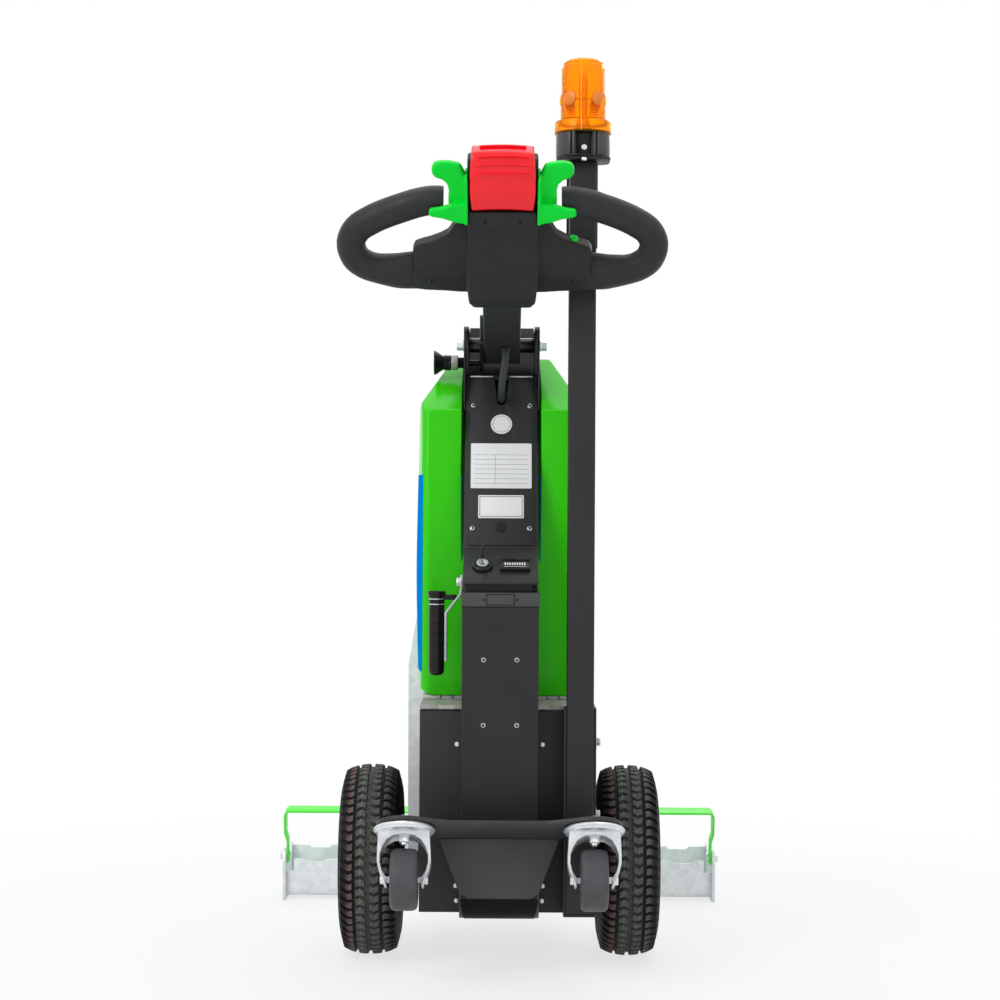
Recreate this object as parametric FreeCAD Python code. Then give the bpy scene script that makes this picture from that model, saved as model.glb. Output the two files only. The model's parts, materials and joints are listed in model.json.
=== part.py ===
"""Electric tow tug: a walk-behind battery tug with a tiller, two drive wheels and a coupling channel.

Millimetres. +X is the viewer's right from the operator's side, +Y points ahead to the load, +Z is up and the
floor is z = 0. Lengths along Y are given from the drive axle, and place() moves every piece to the frame's
origin, which is the middle of the tug on the floor.
"""
import FreeCAD
import Part
import math
import os

V = FreeCAD.Vector
X_AXIS = V(1, 0, 0)
Z_AXIS = V(0, 0, 1)
ORIGIN_FROM_AXLE = 78.0          # the frame's origin lies this far ahead of the drive axle

# clearances
RUNNING_FIT = 0.05               # radial gap of a shaft in its bore
PANEL_GAP = 4.0                  # gap between neighbouring covers
PLAY = 0.3                       # gap between a part and the part it slides past

# drive wheels, 3.00-4 tyres
TYRE_RADIUS = 130.0
TYRE_WIDTH = 80.5
RIM_RADIUS = 56.0                # bead seat
RIM_FLANGE = 7.0
RIM_HALF_WIDTH = 30.0
RIM_SHEET = 6.0
HUB_RADIUS = 22.0
AXLE_RADIUS = 10.0
WHEEL_GAP = 29.5                 # between the chassis and a tyre

# chassis box
CHASSIS_WIDTH = 211.0
TRACK = CHASSIS_WIDTH + TYRE_WIDTH + 2 * WHEEL_GAP   # between the middles of the two tyres
CHASSIS_REAR = -150.0
CHASSIS_FRONT = 200.0
CHASSIS_BOTTOM = 84.0
CHASSIS_TOP = 350.0
SHEET = 4.0
TOP_PLATE = 6.0
AXLE_TUBE_RADIUS = 24.0
DRIVE_BLOCK = (120.0, 190.0, 92.0)   # drive unit: width, length, height

# battery and hood
BATTERY_SIZE = (170.0, 190.0, 240.0)
BATTERY_REAR = -14.0
HOOD_REAR = -60.0
HOOD_FRONT = 196.0
HOOD_TOP = 826.0
HOOD_REAR_WIDTH = 214.0
HOOD_FRONT_WIDTH = 238.0
HOOD_TOP_WIDTH = 135.0
HOOD_CHAMFER_DROP = 73.0         # height of the slanted shoulder beside the flat top
HOOD_LEAN = 7.0                  # how far the sides draw in at the shoulder and at the foot
HOOD_WAIST = 520.0               # height where the hood is widest
HOOD_WAIST_RADIUS = 1400.0
HOOD_REAR_KNEE = 747.0           # where the rear face starts to lean ahead
HOOD_FRONT_KNEE = 600.0
HOOD_TOP_START = 70.0
HOOD_TOP_END = 118.0
HOOD_WALL = 4.0
HOOD_EDGE = 14.0                 # rounding of the hood's upright rear edges
HOOD_CREASE = 9.0                # rounding between its slanted faces
HOOD_FOOT_EDGE = 24.0            # rounding of its lower corners
HOOD_WIDENING = 130.0            # length over which the hood widens from rear to front
HOOD_STRIP = 5.0                 # white strip between the hood and the chassis
STRIP_WIDTH = 12.0

# front plate of galvanised sheet
FRONT_PLATE_HALF = 135.0
FRONT_PLATE_NARROW = 118.0
FRONT_PLATE_BOTTOM = 96.0
FRONT_PLATE_SHOULDER = 382.0
FRONT_PLATE_TAPER_END = 486.0
FRONT_PLATE_TOP = 590.0

# lower column, console and leaning upper column
COLUMN_HALF = 50.0
LOWER_COLUMN_REAR = -184.0
LOWER_COLUMN_TOP = 506.0
COLUMN_FLANGE = 19.0             # band around the top of the lower column
CONSOLE_SEAM = 10.0              # shadow gap under the console
CONSOLE_INSET = 8.0
CONSOLE_LIP = 3.0
CONSOLE_LOW_EDGE = -181.0
CONSOLE_TOP = 562.0
UPPER_COLUMN_HALF = COLUMN_HALF - 0.7
UPPER_COLUMN_LEAN = 22.5
UPPER_COLUMN_FACE = -115.0       # operator's face at the height of the console's top
UPPER_COLUMN_DEPTH = 55.0
UPPER_COLUMN_TOP = 797.0
UPPER_COLUMN_WALL = 4.0
COVER_PLATE_HALF = 44.0
COVER_PLATE_SHEET = 2.0
COVER_PLATE_LOW = 566.0
COVER_PLATE_HIGH = 795.5
CABLE_SLOT_HALF = 10.5
CABLE_SLOT_LOW_HALF = 5.5
CABLE_SLOT_LENGTH = 41.0

# yoke and tiller
PIVOT_Y = -10.0
PIVOT_Z = 839.0
EAR_RADIUS = 25.0
EAR_SHEET = 7.0
EAR_FOOT = 49.0                  # how far the ears reach down the column's sides
WEB_SHEET = 4.0
WEB_RISE = 5.0                   # of the web above the ears
EAR_OUTER = UPPER_COLUMN_HALF + 2.7
PIVOT_RADIUS = 6.0
PIVOT_WASHER_RADIUS = 8.0
PIVOT_NUT = 13.0                 # across flats
SLEEVE_RADIUS = 10.0
TILLER_RISE = 20.0               # of the tube above level, at rest
TILLER_HALF = 25.0
TILLER_WALL = 3.0
TILLER_LENGTH = 236.0
SECTOR_RADIUS = 36.0
SECTOR_SHEET = 5.0
SECTOR_REACH = 56.0              # length of the sector's tail along the tube
INDEX_RADIUS = 30.0
INDEX_PIN_RADIUS = 4.0
INDEX_THREAD_RADIUS = 8.0
INDEX_ANGLE = -50.0              # where the plunger sits, around the pivot
INDEX_STEP = 15.0
INDEX_HOLES = 4

# tiller head, laid out in its own plane
HEAD_REACH = 212.0               # along the tube to the head's lower edge
HEAD_DROP = 16.5
HEAD_TILT = 35.0                 # of the head above the tube
HEAD_LENGTH = 204.0
HEAD_CORE_HALF = 42.0
HEAD_CORE_BELLY = 28.0           # below the head's plane
HEAD_CORE_BACK = 26.0            # above the head's plane
NECK_START = 186.0               # along the tube
NECK_WALL = 6.0
SHOULDER_HALF = 112.0
SHOULDER_THICK = 40.0
GRIP_RADIUS = 18.5
GRIP_END_X = 154.5               # middle of the round end of the loop
GRIP_END_Y = 62.0
GRIP_END_RADIUS = 37.0
GRIP_TILT = 74.0                 # how far round the end the straight upper grip leaves it
GRIP_START_X = 74.0              # free inner end of the upper grip
HORN_X = 90.0
HORN_FLOOR = 66.0                # bottom of the horn button's hole
HORN_RADIUS = 6.0
HORN_LENGTH = 12.0
BUTTON_START = 122.0
BUTTON_THICK = 14.0
WING_X = 44.0
WING_SHEET = 14.0

# mast and beacon
MAST_SIZE = 35.0
MAST_WALL = 2.5
MAST_X = CHASSIS_WIDTH / 2 - 1.0
MAST_BOTTOM = 88.0
MAST_TOP = 1067.0
MAST_CHANNEL_TOP = 356.0
MAST_CHANNEL_SHEET = 3.5
BEACON_RADIUS = 35.0
BEACON_BASE_HEIGHT = 33.0
BEACON_FLANGE_RADIUS = 37.3
BEACON_FLANGE_HEIGHT = 18.0
BEACON_LENS_RADIUS = 28.0
BEACON_TOP = 1203.0

# castor plate and castors
PLATE_TILT = 23.0
PLATE_SHEET = 6.0
PLATE_ROOT_Z = 172.0             # underside of the plate where it meets the chassis
PLATE_DEPTH = 108.0              # along the slope, in the middle
PLATE_HALF_ROOT = MAST_X - MAST_SIZE / 2 - MAST_CHANNEL_SHEET - 1.5
PLATE_HALF_LEAD = PLATE_HALF_ROOT - 20.0   # half width of its straight operator edge
CASTOR_X = MAST_X + 16.5
CASTOR_ALONG = 94.5              # swivel point, along the slope from the chassis
CASTOR_PAD_RADIUS = 36.0
CASTOR_HEIGHT = 102.0
CASTOR_TRAIL = 25.0
CASTOR_WHEEL_RADIUS = 40.0
CASTOR_WHEEL_WIDTH = 35.0
CASTOR_PIN_RADIUS = 6.0
CASTOR_AXLE_RADIUS = 4.0
CASTOR_RACE_RADIUS = 37.0
CASTOR_RACE_HEIGHT = 6.0
FORK_SHEET = 3.0
FORK_WIDE = 34.0                 # half width of the bowed legs
FORK_NARROW = 22.0               # half width at the axle

# lower rear cover
COVER_TOP_HALF = 76.5
COVER_LOW_HALF = 52.0
COVER_DROP = 6.0                 # of its lower edge below the chassis
COVER_KNEE_Z = 116.0
COVER_ROLL = 30.0

# coupling beam
BEAM_HALF = 337.0
BEAM_NEAR = 388.0
BEAM_FAR = 496.0
BEAM_SHEET = 4.0
BEAM_CLEARANCE = 6.0             # under the channel
BEAM_NEAR_TOP = 64.0
BEAM_FAR_TOP = 70.0
BEAM_BEND = 10.0
END_PLATE = 5.0
END_PLATE_FAR_TOP = 76.0
NOTCH_X = 287.0
NOTCH_WIDTH = 40.0
NOTCH_DEPTH = 4.5
ARM_X = 70.0
ARM_THICK = 12.0

# bail
BAIL_Y = 398.0
BAIL_Z = 68.0
BAIL_HEIGHT = 75.0
BAIL_LEAN = 6.0
BAIL_SHEET = 3.0
BAIL_WIDTH = 36.0
BAIL_FOOT_WIDTH = 22.0
BAIL_PIN_RADIUS = 4.0
BAIL_SPLAY = 3.5

# controls on the column
KEY_SWITCH_RADIUS = 14.0
GAUGE_WIDTH = 40.0
GAUGE_HEIGHT = 23.0
STRAP_WIDTH = 18.0
STRAP_SHEET = 3.4
LAMP_RADIUS = 10.5
LAMP_LENGTH = 112.0
LAMP_DROP = 19.5                 # below the strap's end
LAMP_HEAD_RADIUS = 12.0
LAMP_HEAD_HEIGHT = 10.0
LAMP_STRAP_X = -COLUMN_HALF - 21.0
STRAP_BOLT_Z = 517.0
STRAP_END_Z = 412.0
KEY_X = -24.0
GAUGE_X = 19.0
KEY_UP = -4.0                    # row of the controls, up the console's slope from its middle
CABLE_RADIUS = 4.25
CABLE_X = 5.0
CABLE_EXIT = 46.0                # along the tiller from its pivot

parts = {}


# ---- shapes --------------------------------------------------------------------------------------

def block(x0, x1, y0, y1, z0, z1):
    """A box between two corners."""
    return Part.makeBox(x1 - x0, y1 - y0, z1 - z0, V(x0, y0, z0))


def rod(start, direction, radius, length):
    return Part.makeCylinder(radius, length, start, direction)


def rod_x(x0, x1, y, z, radius):
    """A cylinder along X."""
    return rod(V(min(x0, x1), y, z), X_AXIS, radius, abs(x1 - x0))


def hexagon(start, direction, across_flats, length):
    """A bolt head or nut."""
    corner = across_flats / math.sqrt(3)
    points = [V(corner * math.cos(i * math.pi / 3), corner * math.sin(i * math.pi / 3), 0) for i in range(7)]
    prism = Part.Face(Part.makePolygon(points)).extrude(V(0, 0, length))
    prism.Placement = FreeCAD.Placement(start, FreeCAD.Rotation(Z_AXIS, direction))
    return prism


def outline(points, radii=0.0):
    """A closed wire through the points, its corners rounded by one radius, or by one for each point."""
    if not isinstance(radii, (list, tuple)):
        radii = [radii] * len(points)
    edges = []
    ends = []
    for index, corner in enumerate(points):
        back = (points[index - 1] - corner).normalize()
        ahead = (points[(index + 1) % len(points)] - corner).normalize()
        radius = radii[index]
        if radius <= 0:
            ends.append((corner, corner))
            continue
        half = back.getAngle(ahead) / 2
        reach = radius / math.tan(half)
        middle = (back + ahead).normalize()
        top = corner + middle * (radius / math.sin(half) - radius)
        ends.append((corner + back * reach, corner + ahead * reach))
        edges.append((index, Part.Arc(ends[-1][0], top, ends[-1][1]).toShape()))
    arcs = dict(edges)
    wire = []
    for index in range(len(points)):
        if index in arcs:
            wire.append(arcs[index])
        leave = ends[index][1]
        arrive = ends[(index + 1) % len(points)][0]
        if leave.distanceToPoint(arrive) > 1e-6:
            wire.append(Part.LineSegment(leave, arrive).toShape())
    return Part.Wire(Part.__sortEdges__(wire))


def side_prism(points, x0, x1, radii=0.0):
    """A side outline of (y, z) points, as wide as x0 to x1."""
    wire = outline([V(x0, y, z) for y, z in points], radii)
    return Part.Face(wire).extrude(V(x1 - x0, 0, 0))


def front_prism(points, y0, y1, radii=0.0):
    """A front outline of (x, z) points, as deep as y0 to y1."""
    wire = outline([V(x, y0, z) for x, z in points], radii)
    return Part.Face(wire).extrude(V(0, y1 - y0, 0))


def plan_prism(points, z0, z1, radii=0.0):
    """A plan outline of (x, y) points, as high as z0 to z1."""
    wire = outline([V(x, y, z0) for x, y in points], radii)
    return Part.Face(wire).extrude(V(0, 0, z1 - z0))


def turned_x(points, x, y, z):
    """A ring or disc turned about an X axis through (x, y, z), from (x, radius) points."""
    wire = Part.makePolygon([V(px, radius, 0) for px, radius in points + points[:1]])
    solid = Part.Face(wire).revolve(V(0, 0, 0), X_AXIS, 360)
    return moved(solid, V(x, y, z))


def turned_z(points, x, y, z):
    """A ring or disc turned about a Z axis through (x, y, z), from (radius, z) points."""
    wire = Part.makePolygon([V(radius, 0, pz) for radius, pz in points + points[:1]])
    solid = Part.Face(wire).revolve(V(0, 0, 0), Z_AXIS, 360)
    return moved(solid, V(x, y, z))


def bent_path(points, radii):
    """An open path of straight runs joined by tangent arcs, one radius for each inner point."""
    edges = []
    start = points[0]
    for index in range(1, len(points) - 1):
        corner = points[index]
        back = (points[index - 1] - corner).normalize()
        ahead = (points[index + 1] - corner).normalize()
        half = back.getAngle(ahead) / 2
        reach = radii[index - 1] / math.tan(half)
        top = corner + (back + ahead).normalize() * (radii[index - 1] / math.sin(half) - radii[index - 1])
        enter = corner + back * reach
        leave = corner + ahead * reach
        edges.append(Part.LineSegment(start, enter).toShape())
        edges.append(Part.Arc(enter, top, leave).toShape())
        start = leave
    edges.append(Part.LineSegment(start, points[-1]).toShape())
    return Part.Wire(edges)


def pipe(path, radius):
    """A round bar along a path."""
    first = path.Edges[0]
    direction = first.tangentAt(first.FirstParameter)
    start = first.valueAt(first.FirstParameter)
    circle = Part.Wire(Part.makeCircle(radius, start, direction))
    return path.makePipeShell([circle], True, False)


def moved(shape, offset):
    copy = shape.copy()
    copy.translate(offset)
    return copy


def turned(shape, centre, axis, degrees):
    copy = shape.copy()
    copy.rotate(centre, axis, degrees)
    return copy


def mirrored(shape):
    """The same shape on the other side of the middle plane."""
    return shape.mirror(V(0, 0, 0), X_AXIS)


def both_sides(shape):
    """A piece and its mirror image in one node."""
    return Part.makeCompound([shape, mirrored(shape)])


def joined(*shapes):
    solid = shapes[0].fuse(list(shapes[1:])) if len(shapes) > 1 else shapes[0]
    return solid.removeSplitter()


def place(name, shape):
    """Keeps a piece, moved from the drive axle's frame to the part's frame."""
    parts[name] = moved(shape, V(0, -ORIGIN_FROM_AXLE, 0))


def place_pair(name, shape):
    """Keeps a piece built on the +X side as the right one, and its mirror image as the left one."""
    place(name + "_right", shape)
    place(name + "_left", mirrored(shape))


# ---- frames that several pieces share ------------------------------------------------------------

LEAN = math.tan(math.radians(UPPER_COLUMN_LEAN))
COLUMN_DEPTH_LEVEL = UPPER_COLUMN_DEPTH / math.cos(math.radians(UPPER_COLUMN_LEAN))
PLATE_SLOPE = math.tan(math.radians(PLATE_TILT))
BEAM_INNER = BEAM_HALF - END_PLATE


def column_face(z):
    """Y of the leaning column's operator face at a height."""
    return UPPER_COLUMN_FACE + (z - CONSOLE_TOP) * LEAN


def plate_underside(y):
    """Height of the castor plate's underside at a place along Y."""
    return PLATE_ROOT_Z + (CHASSIS_REAR - y) * PLATE_SLOPE


def on_tiller(shape):
    """From the tiller's own frame (pivot at the origin, tube along -Y) to its place at rest."""
    risen = turned(shape, V(0, 0, 0), X_AXIS, -TILLER_RISE)
    return moved(risen, V(0, PIVOT_Y, PIVOT_Z))


def on_head(shape):
    """From the head's own plane (lower edge at the origin, tip along -Y) to its place at rest."""
    tilted = turned(shape, V(0, 0, 0), X_AXIS, -HEAD_TILT)
    return on_tiller(moved(tilted, V(0, -HEAD_REACH, -HEAD_DROP)))


def on_plate(shape):
    """From the castor plate's own frame (chassis edge at the origin, operator along -Y) to its place."""
    tilted = turned(shape, V(0, 0, 0), X_AXIS, -PLATE_TILT)
    return moved(tilted, V(0, CHASSIS_REAR, PLATE_ROOT_Z))


def on_bail(shape):
    """From the bail's own frame (pins at the origin, legs up) to its leaning place."""
    leaned = turned(shape, V(0, 0, 0), X_AXIS, BAIL_LEAN)
    return moved(leaned, V(0, BAIL_Y, BAIL_Z))


# ---- drive wheels and drive unit -----------------------------------------------------------------

def drive_tyre():
    half = TYRE_WIDTH / 2
    bead = RIM_RADIUS + RIM_FLANGE + 1
    side = [
        (RIM_HALF_WIDTH, RIM_RADIUS),
        (RIM_HALF_WIDTH, bead),
        (half - 4, bead + 14),
        (half, bead + 30),
        (half - 1, TYRE_RADIUS - 20),
        (half - 5, TYRE_RADIUS - 9),
        (half - 13, TYRE_RADIUS - 3),
        (half - 24, TYRE_RADIUS),
    ]
    section = side + [(-x, radius) for x, radius in reversed(side)]
    return turned_x(section, TRACK / 2, 0, TYRE_RADIUS)


def drive_rim():
    web = RIM_SHEET / 2
    flange = RIM_RADIUS + RIM_FLANGE
    seat = RIM_RADIUS - RIM_SHEET
    side = [
        (RIM_HALF_WIDTH, AXLE_RADIUS),
        (RIM_HALF_WIDTH, HUB_RADIUS),
        (web, HUB_RADIUS),
        (web, seat),
        (RIM_HALF_WIDTH + 3, seat),
        (RIM_HALF_WIDTH + 3, flange),
        (RIM_HALF_WIDTH, flange),
        (RIM_HALF_WIDTH, RIM_RADIUS),
    ]
    section = side + [(-x, radius) for x, radius in reversed(side)]
    return turned_x(section, TRACK / 2, 0, TYRE_RADIUS)


def half_shaft():
    """Drive shaft of one wheel with its outer nut."""
    hub_out = TRACK / 2 + RIM_HALF_WIDTH
    shaft = rod_x(DRIVE_BLOCK[0] / 2 + 6, hub_out, 0, TYRE_RADIUS, AXLE_RADIUS - RUNNING_FIT)
    washer = rod_x(hub_out, hub_out + 2, 0, TYRE_RADIUS, 15)
    nut = hexagon(V(hub_out + 2, 0, TYRE_RADIUS), X_AXIS, 24, 10)
    return joined(shaft, washer, nut)


def drive_unit():
    """Motor and gearbox in one plain block on the chassis floor, with the two axle tubes."""
    width, length, height = DRIVE_BLOCK
    floor = CHASSIS_BOTTOM + SHEET
    body = block(-width / 2, width / 2, -length / 2, length / 2, floor, floor + height)
    reach = CHASSIS_WIDTH / 2 + 6
    tubes = rod_x(-reach, reach, 0, TYRE_RADIUS, AXLE_TUBE_RADIUS)
    bore = rod_x(width / 2, reach, 0, TYRE_RADIUS, AXLE_RADIUS)
    return joined(body, tubes).cut([bore, mirrored(bore)])


# ---- chassis -------------------------------------------------------------------------------------

def chassis_frame():
    """Folded box, open on top, with a hole in each side for the axle tube."""
    half = CHASSIS_WIDTH / 2
    outer = block(-half, half, CHASSIS_REAR, CHASSIS_FRONT, CHASSIS_BOTTOM, CHASSIS_TOP)
    inner = block(-half + SHEET, half - SHEET, CHASSIS_REAR + SHEET, CHASSIS_FRONT - SHEET,
                  CHASSIS_BOTTOM + SHEET, CHASSIS_TOP)
    holes = rod_x(-half - 1, half + 1, 0, TYRE_RADIUS, AXLE_TUBE_RADIUS + PLAY)
    return outer.cut([inner, holes])


def chassis_top_plate():
    half = CHASSIS_WIDTH / 2
    return block(-half, half, CHASSIS_REAR, CHASSIS_FRONT, CHASSIS_TOP, CHASSIS_TOP + TOP_PLATE)


def hood_base_strip():
    """White strip on the chassis that carries the hood's lower edge."""
    low = CHASSIS_TOP + TOP_PLATE
    half = CHASSIS_WIDTH / 2
    rear = HOOD_REAR + HOOD_WALL
    front = HOOD_FRONT - HOOD_WALL
    outer = block(-half, half, rear, front, low, low + HOOD_STRIP)
    hole = block(-half + STRIP_WIDTH, half - STRIP_WIDTH, rear + STRIP_WIDTH, front - STRIP_WIDTH,
                 low, low + HOOD_STRIP)
    return outer.cut(hole)


def hood_bottom():
    return CHASSIS_TOP + TOP_PLATE + HOOD_STRIP


def hood_form(inset):
    """The hood's solid form, or the same form drawn in by a wall all round."""
    top = HOOD_TOP - inset
    low = hood_bottom() - inset
    rear = HOOD_REAR + inset
    front = HOOD_FRONT - inset
    side = side_prism([(rear, low), (front, low), (front, HOOD_FRONT_KNEE), (HOOD_TOP_END - inset, top),
                       (HOOD_TOP_START + inset, top), (rear, HOOD_REAR_KNEE)], -200, 200,
                      [0, 0, 60, 40, HOOD_CREASE, HOOD_CREASE])
    rear_half = HOOD_REAR_WIDTH / 2 - inset
    front_half = HOOD_FRONT_WIDTH / 2 - inset
    widening = rear + HOOD_WIDENING
    plan = plan_prism([(-rear_half, rear), (rear_half, rear), (front_half, widening), (front_half, front),
                       (-front_half, front), (-front_half, widening)], low - 5, top + 5,
                      [HOOD_EDGE, HOOD_EDGE, 60, 30, 30, 60])
    top_half = HOOD_TOP_WIDTH / 2 - inset / 2
    shoulder = top - HOOD_CHAMFER_DROP
    drawn_in = front_half - HOOD_LEAN
    face = front_prism([(-drawn_in, low), (drawn_in, low), (front_half, HOOD_WAIST), (drawn_in, shoulder),
                        (top_half, top), (-top_half, top), (-drawn_in, shoulder), (-front_half, HOOD_WAIST)],
                       rear - 5, front + 5,
                       [HOOD_FOOT_EDGE] * 2 + [HOOD_WAIST_RADIUS] + [HOOD_CREASE] * 4 + [HOOD_WAIST_RADIUS])
    form = side.common(plan).common(face)
    return form.cut(column_channel(PANEL_GAP + inset)).Solids[0]


def column_channel(gap):
    """The space that the leaning column and its yoke need in the hood's rear."""
    half = EAR_OUTER + gap - 2
    low = hood_bottom() - 10
    high = HOOD_TOP + 40
    step = COLUMN_DEPTH_LEVEL + gap
    points = [(HOOD_REAR - 40, low), (column_face(low) + step, low), (column_face(high) + step, high),
              (HOOD_REAR - 40, high)]
    return side_prism(points, -half, half)


def hood():
    return hood_form(0).cut(hood_form(HOOD_WALL))


def battery_block():
    width, length, height = BATTERY_SIZE
    base = CHASSIS_TOP + TOP_PLATE
    return block(-width / 2, width / 2, BATTERY_REAR, BATTERY_REAR + length, base, base + height)


def front_plate():
    """Galvanised plate ahead of the chassis, drawn in beside the hood."""
    wide = FRONT_PLATE_HALF
    narrow = FRONT_PLATE_NARROW
    points = [(-wide, FRONT_PLATE_BOTTOM), (wide, FRONT_PLATE_BOTTOM), (wide, FRONT_PLATE_SHOULDER),
              (narrow, FRONT_PLATE_TAPER_END), (narrow, FRONT_PLATE_TOP), (-narrow, FRONT_PLATE_TOP),
              (-narrow, FRONT_PLATE_TAPER_END), (-wide, FRONT_PLATE_SHOULDER)]
    return front_prism(points, CHASSIS_FRONT, CHASSIS_FRONT + SHEET, [12, 12, 8, 20, 24, 24, 20, 8])


def lower_rear_cover():
    """Cover under the castor plate, narrower downward, rolled under the chassis."""
    low = CHASSIS_BOTTOM - COVER_DROP
    face = LOWER_COLUMN_REAR
    roll = min(COVER_ROLL, CHASSIS_REAR - face - 1)
    side = side_prism([(CHASSIS_REAR, low), (face, low), (face, plate_underside(face)),
                       (CHASSIS_REAR, plate_underside(CHASSIS_REAR))], -COVER_TOP_HALF, COVER_TOP_HALF,
                      [0, roll, 0, 0])
    top = plate_underside(face)
    front = front_prism([(-COVER_LOW_HALF, low), (COVER_LOW_HALF, low), (COVER_LOW_HALF, COVER_KNEE_Z),
                         (COVER_TOP_HALF, top - 6), (COVER_TOP_HALF, top), (-COVER_TOP_HALF, top),
                         (-COVER_TOP_HALF, top - 6), (-COVER_LOW_HALF, COVER_KNEE_Z)], face - 1, CHASSIS_REAR,
                        [0, 0, 8, 6, 0, 0, 6, 8])
    return side.common(front)


# ---- column --------------------------------------------------------------------------------------

def lower_column():
    """Upright steel box behind the hood, with a flanged top, standing on the castor plate."""
    rear = LOWER_COLUMN_REAR
    ahead = HOOD_REAR - PANEL_GAP
    shelf = CHASSIS_TOP + TOP_PLATE
    foot = plate_underside(rear) + PLATE_SHEET / math.cos(math.radians(PLATE_TILT))
    foot_root = plate_underside(CHASSIS_REAR) + PLATE_SHEET / math.cos(math.radians(PLATE_TILT))
    side = [(CHASSIS_REAR, foot_root), (CHASSIS_REAR, shelf), (ahead, shelf), (ahead, LOWER_COLUMN_TOP),
            (rear, LOWER_COLUMN_TOP), (rear, foot)]
    outer = side_prism(side, -COLUMN_HALF, COLUMN_HALF)
    wall = UPPER_COLUMN_WALL
    inner = [(CHASSIS_REAR - wall, foot_root - 20), (CHASSIS_REAR - wall, shelf + wall),
             (ahead - wall, shelf + wall), (ahead - wall, LOWER_COLUMN_TOP - wall),
             (rear + wall, LOWER_COLUMN_TOP - wall), (rear + wall, foot - 20)]
    hollow = side_prism(inner, -COLUMN_HALF + wall, COLUMN_HALF - wall)
    body = outer.cut(hollow)
    band = block(-COLUMN_HALF - 1, COLUMN_HALF + 1, rear - 1, ahead, LOWER_COLUMN_TOP - COLUMN_FLANGE,
                 LOWER_COLUMN_TOP)
    band = band.cut(block(-COLUMN_HALF, COLUMN_HALF, rear, ahead, LOWER_COLUMN_TOP - COLUMN_FLANGE,
                          LOWER_COLUMN_TOP))
    return joined(body, band)


def console():
    """Sloped switch console in front of the leaning column, over a shadow gap."""
    seat = LOWER_COLUMN_TOP
    base = seat + CONSOLE_SEAM
    foot = CONSOLE_LOW_EDGE
    shell = side_prism([(foot, base), (foot, base + CONSOLE_LIP), (column_face(CONSOLE_TOP), CONSOLE_TOP),
                        (column_face(base), base)], -UPPER_COLUMN_HALF, UPPER_COLUMN_HALF, [0, 2, 0, 0])
    inset = UPPER_COLUMN_HALF - CONSOLE_INSET
    neck = side_prism([(foot + CONSOLE_INSET, seat), (foot + CONSOLE_INSET, base), (column_face(base), base),
                       (column_face(seat), seat)], -inset, inset)
    return joined(shell, neck)


def upper_column():
    """Leaning rectangular tube that carries the yoke."""
    half = UPPER_COLUMN_HALF
    seat = LOWER_COLUMN_TOP
    top = UPPER_COLUMN_TOP
    depth = COLUMN_DEPTH_LEVEL
    outer = side_prism([(column_face(seat), seat), (column_face(seat) + depth, seat),
                        (column_face(top) + depth, top), (column_face(top), top)], -half, half)
    wall = UPPER_COLUMN_WALL
    low = seat - 5
    high = top - 6
    inner = side_prism([(column_face(low) + wall, low), (column_face(low) + depth - wall, low),
                        (column_face(high) + depth - wall, high), (column_face(high) + wall, high)],
                       -half + wall, half - wall)
    return outer.cut([inner, cable_slot()])


def cable_slot():
    """Slot in the column's operator face, open at the top, where the tiller cable goes in."""
    half = CABLE_SLOT_HALF
    foot = CABLE_SLOT_LOW_HALF
    high = UPPER_COLUMN_TOP + 1
    low = UPPER_COLUMN_TOP - CABLE_SLOT_LENGTH
    depth = UPPER_COLUMN_WALL + 4
    return front_prism([(-foot, low), (foot, low), (half, high), (-half, high)],
                       column_face(low) - depth, column_face(high) + depth, [4, 4, 0, 0])


def column_cover_plate():
    """Cover plate on the column's operator face, slotted for the cable."""
    low = COVER_PLATE_LOW
    high = COVER_PLATE_HIGH
    sheet = COVER_PLATE_SHEET
    plate = side_prism([(column_face(low) - sheet, low), (column_face(low), low), (column_face(high), high),
                        (column_face(high) - sheet, high)], -COVER_PLATE_HALF, COVER_PLATE_HALF)
    return plate.cut(cable_slot())


def tiller_yoke():
    """Two flat-topped ears on the column's sides and a web between them, for the pivot and the plunger."""
    top = UPPER_COLUMN_TOP
    low = top - EAR_FOOT
    high = PIVOT_Z + EAR_RADIUS
    depth = COLUMN_DEPTH_LEVEL
    ear_in = UPPER_COLUMN_HALF
    ear_out = EAR_OUTER
    back = column_face(high) + depth
    outer = side_prism([(column_face(low), low), (column_face(low) + depth, low), (back, high),
                        (PIVOT_Y - EAR_RADIUS, high), (PIVOT_Y - EAR_RADIUS, PIVOT_Z - 6)], ear_in, ear_out,
                       [0, 0, 6, 10, 8])
    above = side_prism([(column_face(top), top), (column_face(top) + depth, top), (back, high),
                        (PIVOT_Y - EAR_RADIUS, high), (PIVOT_Y - EAR_RADIUS, PIVOT_Z - 6)],
                       ear_out - EAR_SHEET, ear_in, [0, 0, 6, 10, 8])
    boss_y, boss_z = index_place()
    ear = joined(outer, above).cut(rod_x(0, 2 * ear_out, PIVOT_Y, PIVOT_Z, PIVOT_RADIUS))
    left = mirrored(ear).cut(rod_x(-2 * ear_out, 0, boss_y, boss_z, INDEX_THREAD_RADIUS))
    inner = ear_out - EAR_SHEET
    crest = high + WEB_RISE
    web = side_prism([(column_face(top) + depth - WEB_SHEET, top), (column_face(top) + depth, top),
                      (column_face(crest) + depth, crest), (column_face(crest) + depth - WEB_SHEET, crest)],
                     -inner, inner)
    return joined(ear, left, web)


def index_place():
    """Where the index plunger sits beside the pivot."""
    angle = math.radians(INDEX_ANGLE)
    return PIVOT_Y + INDEX_RADIUS * math.cos(angle), PIVOT_Z + INDEX_RADIUS * math.sin(angle)


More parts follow.
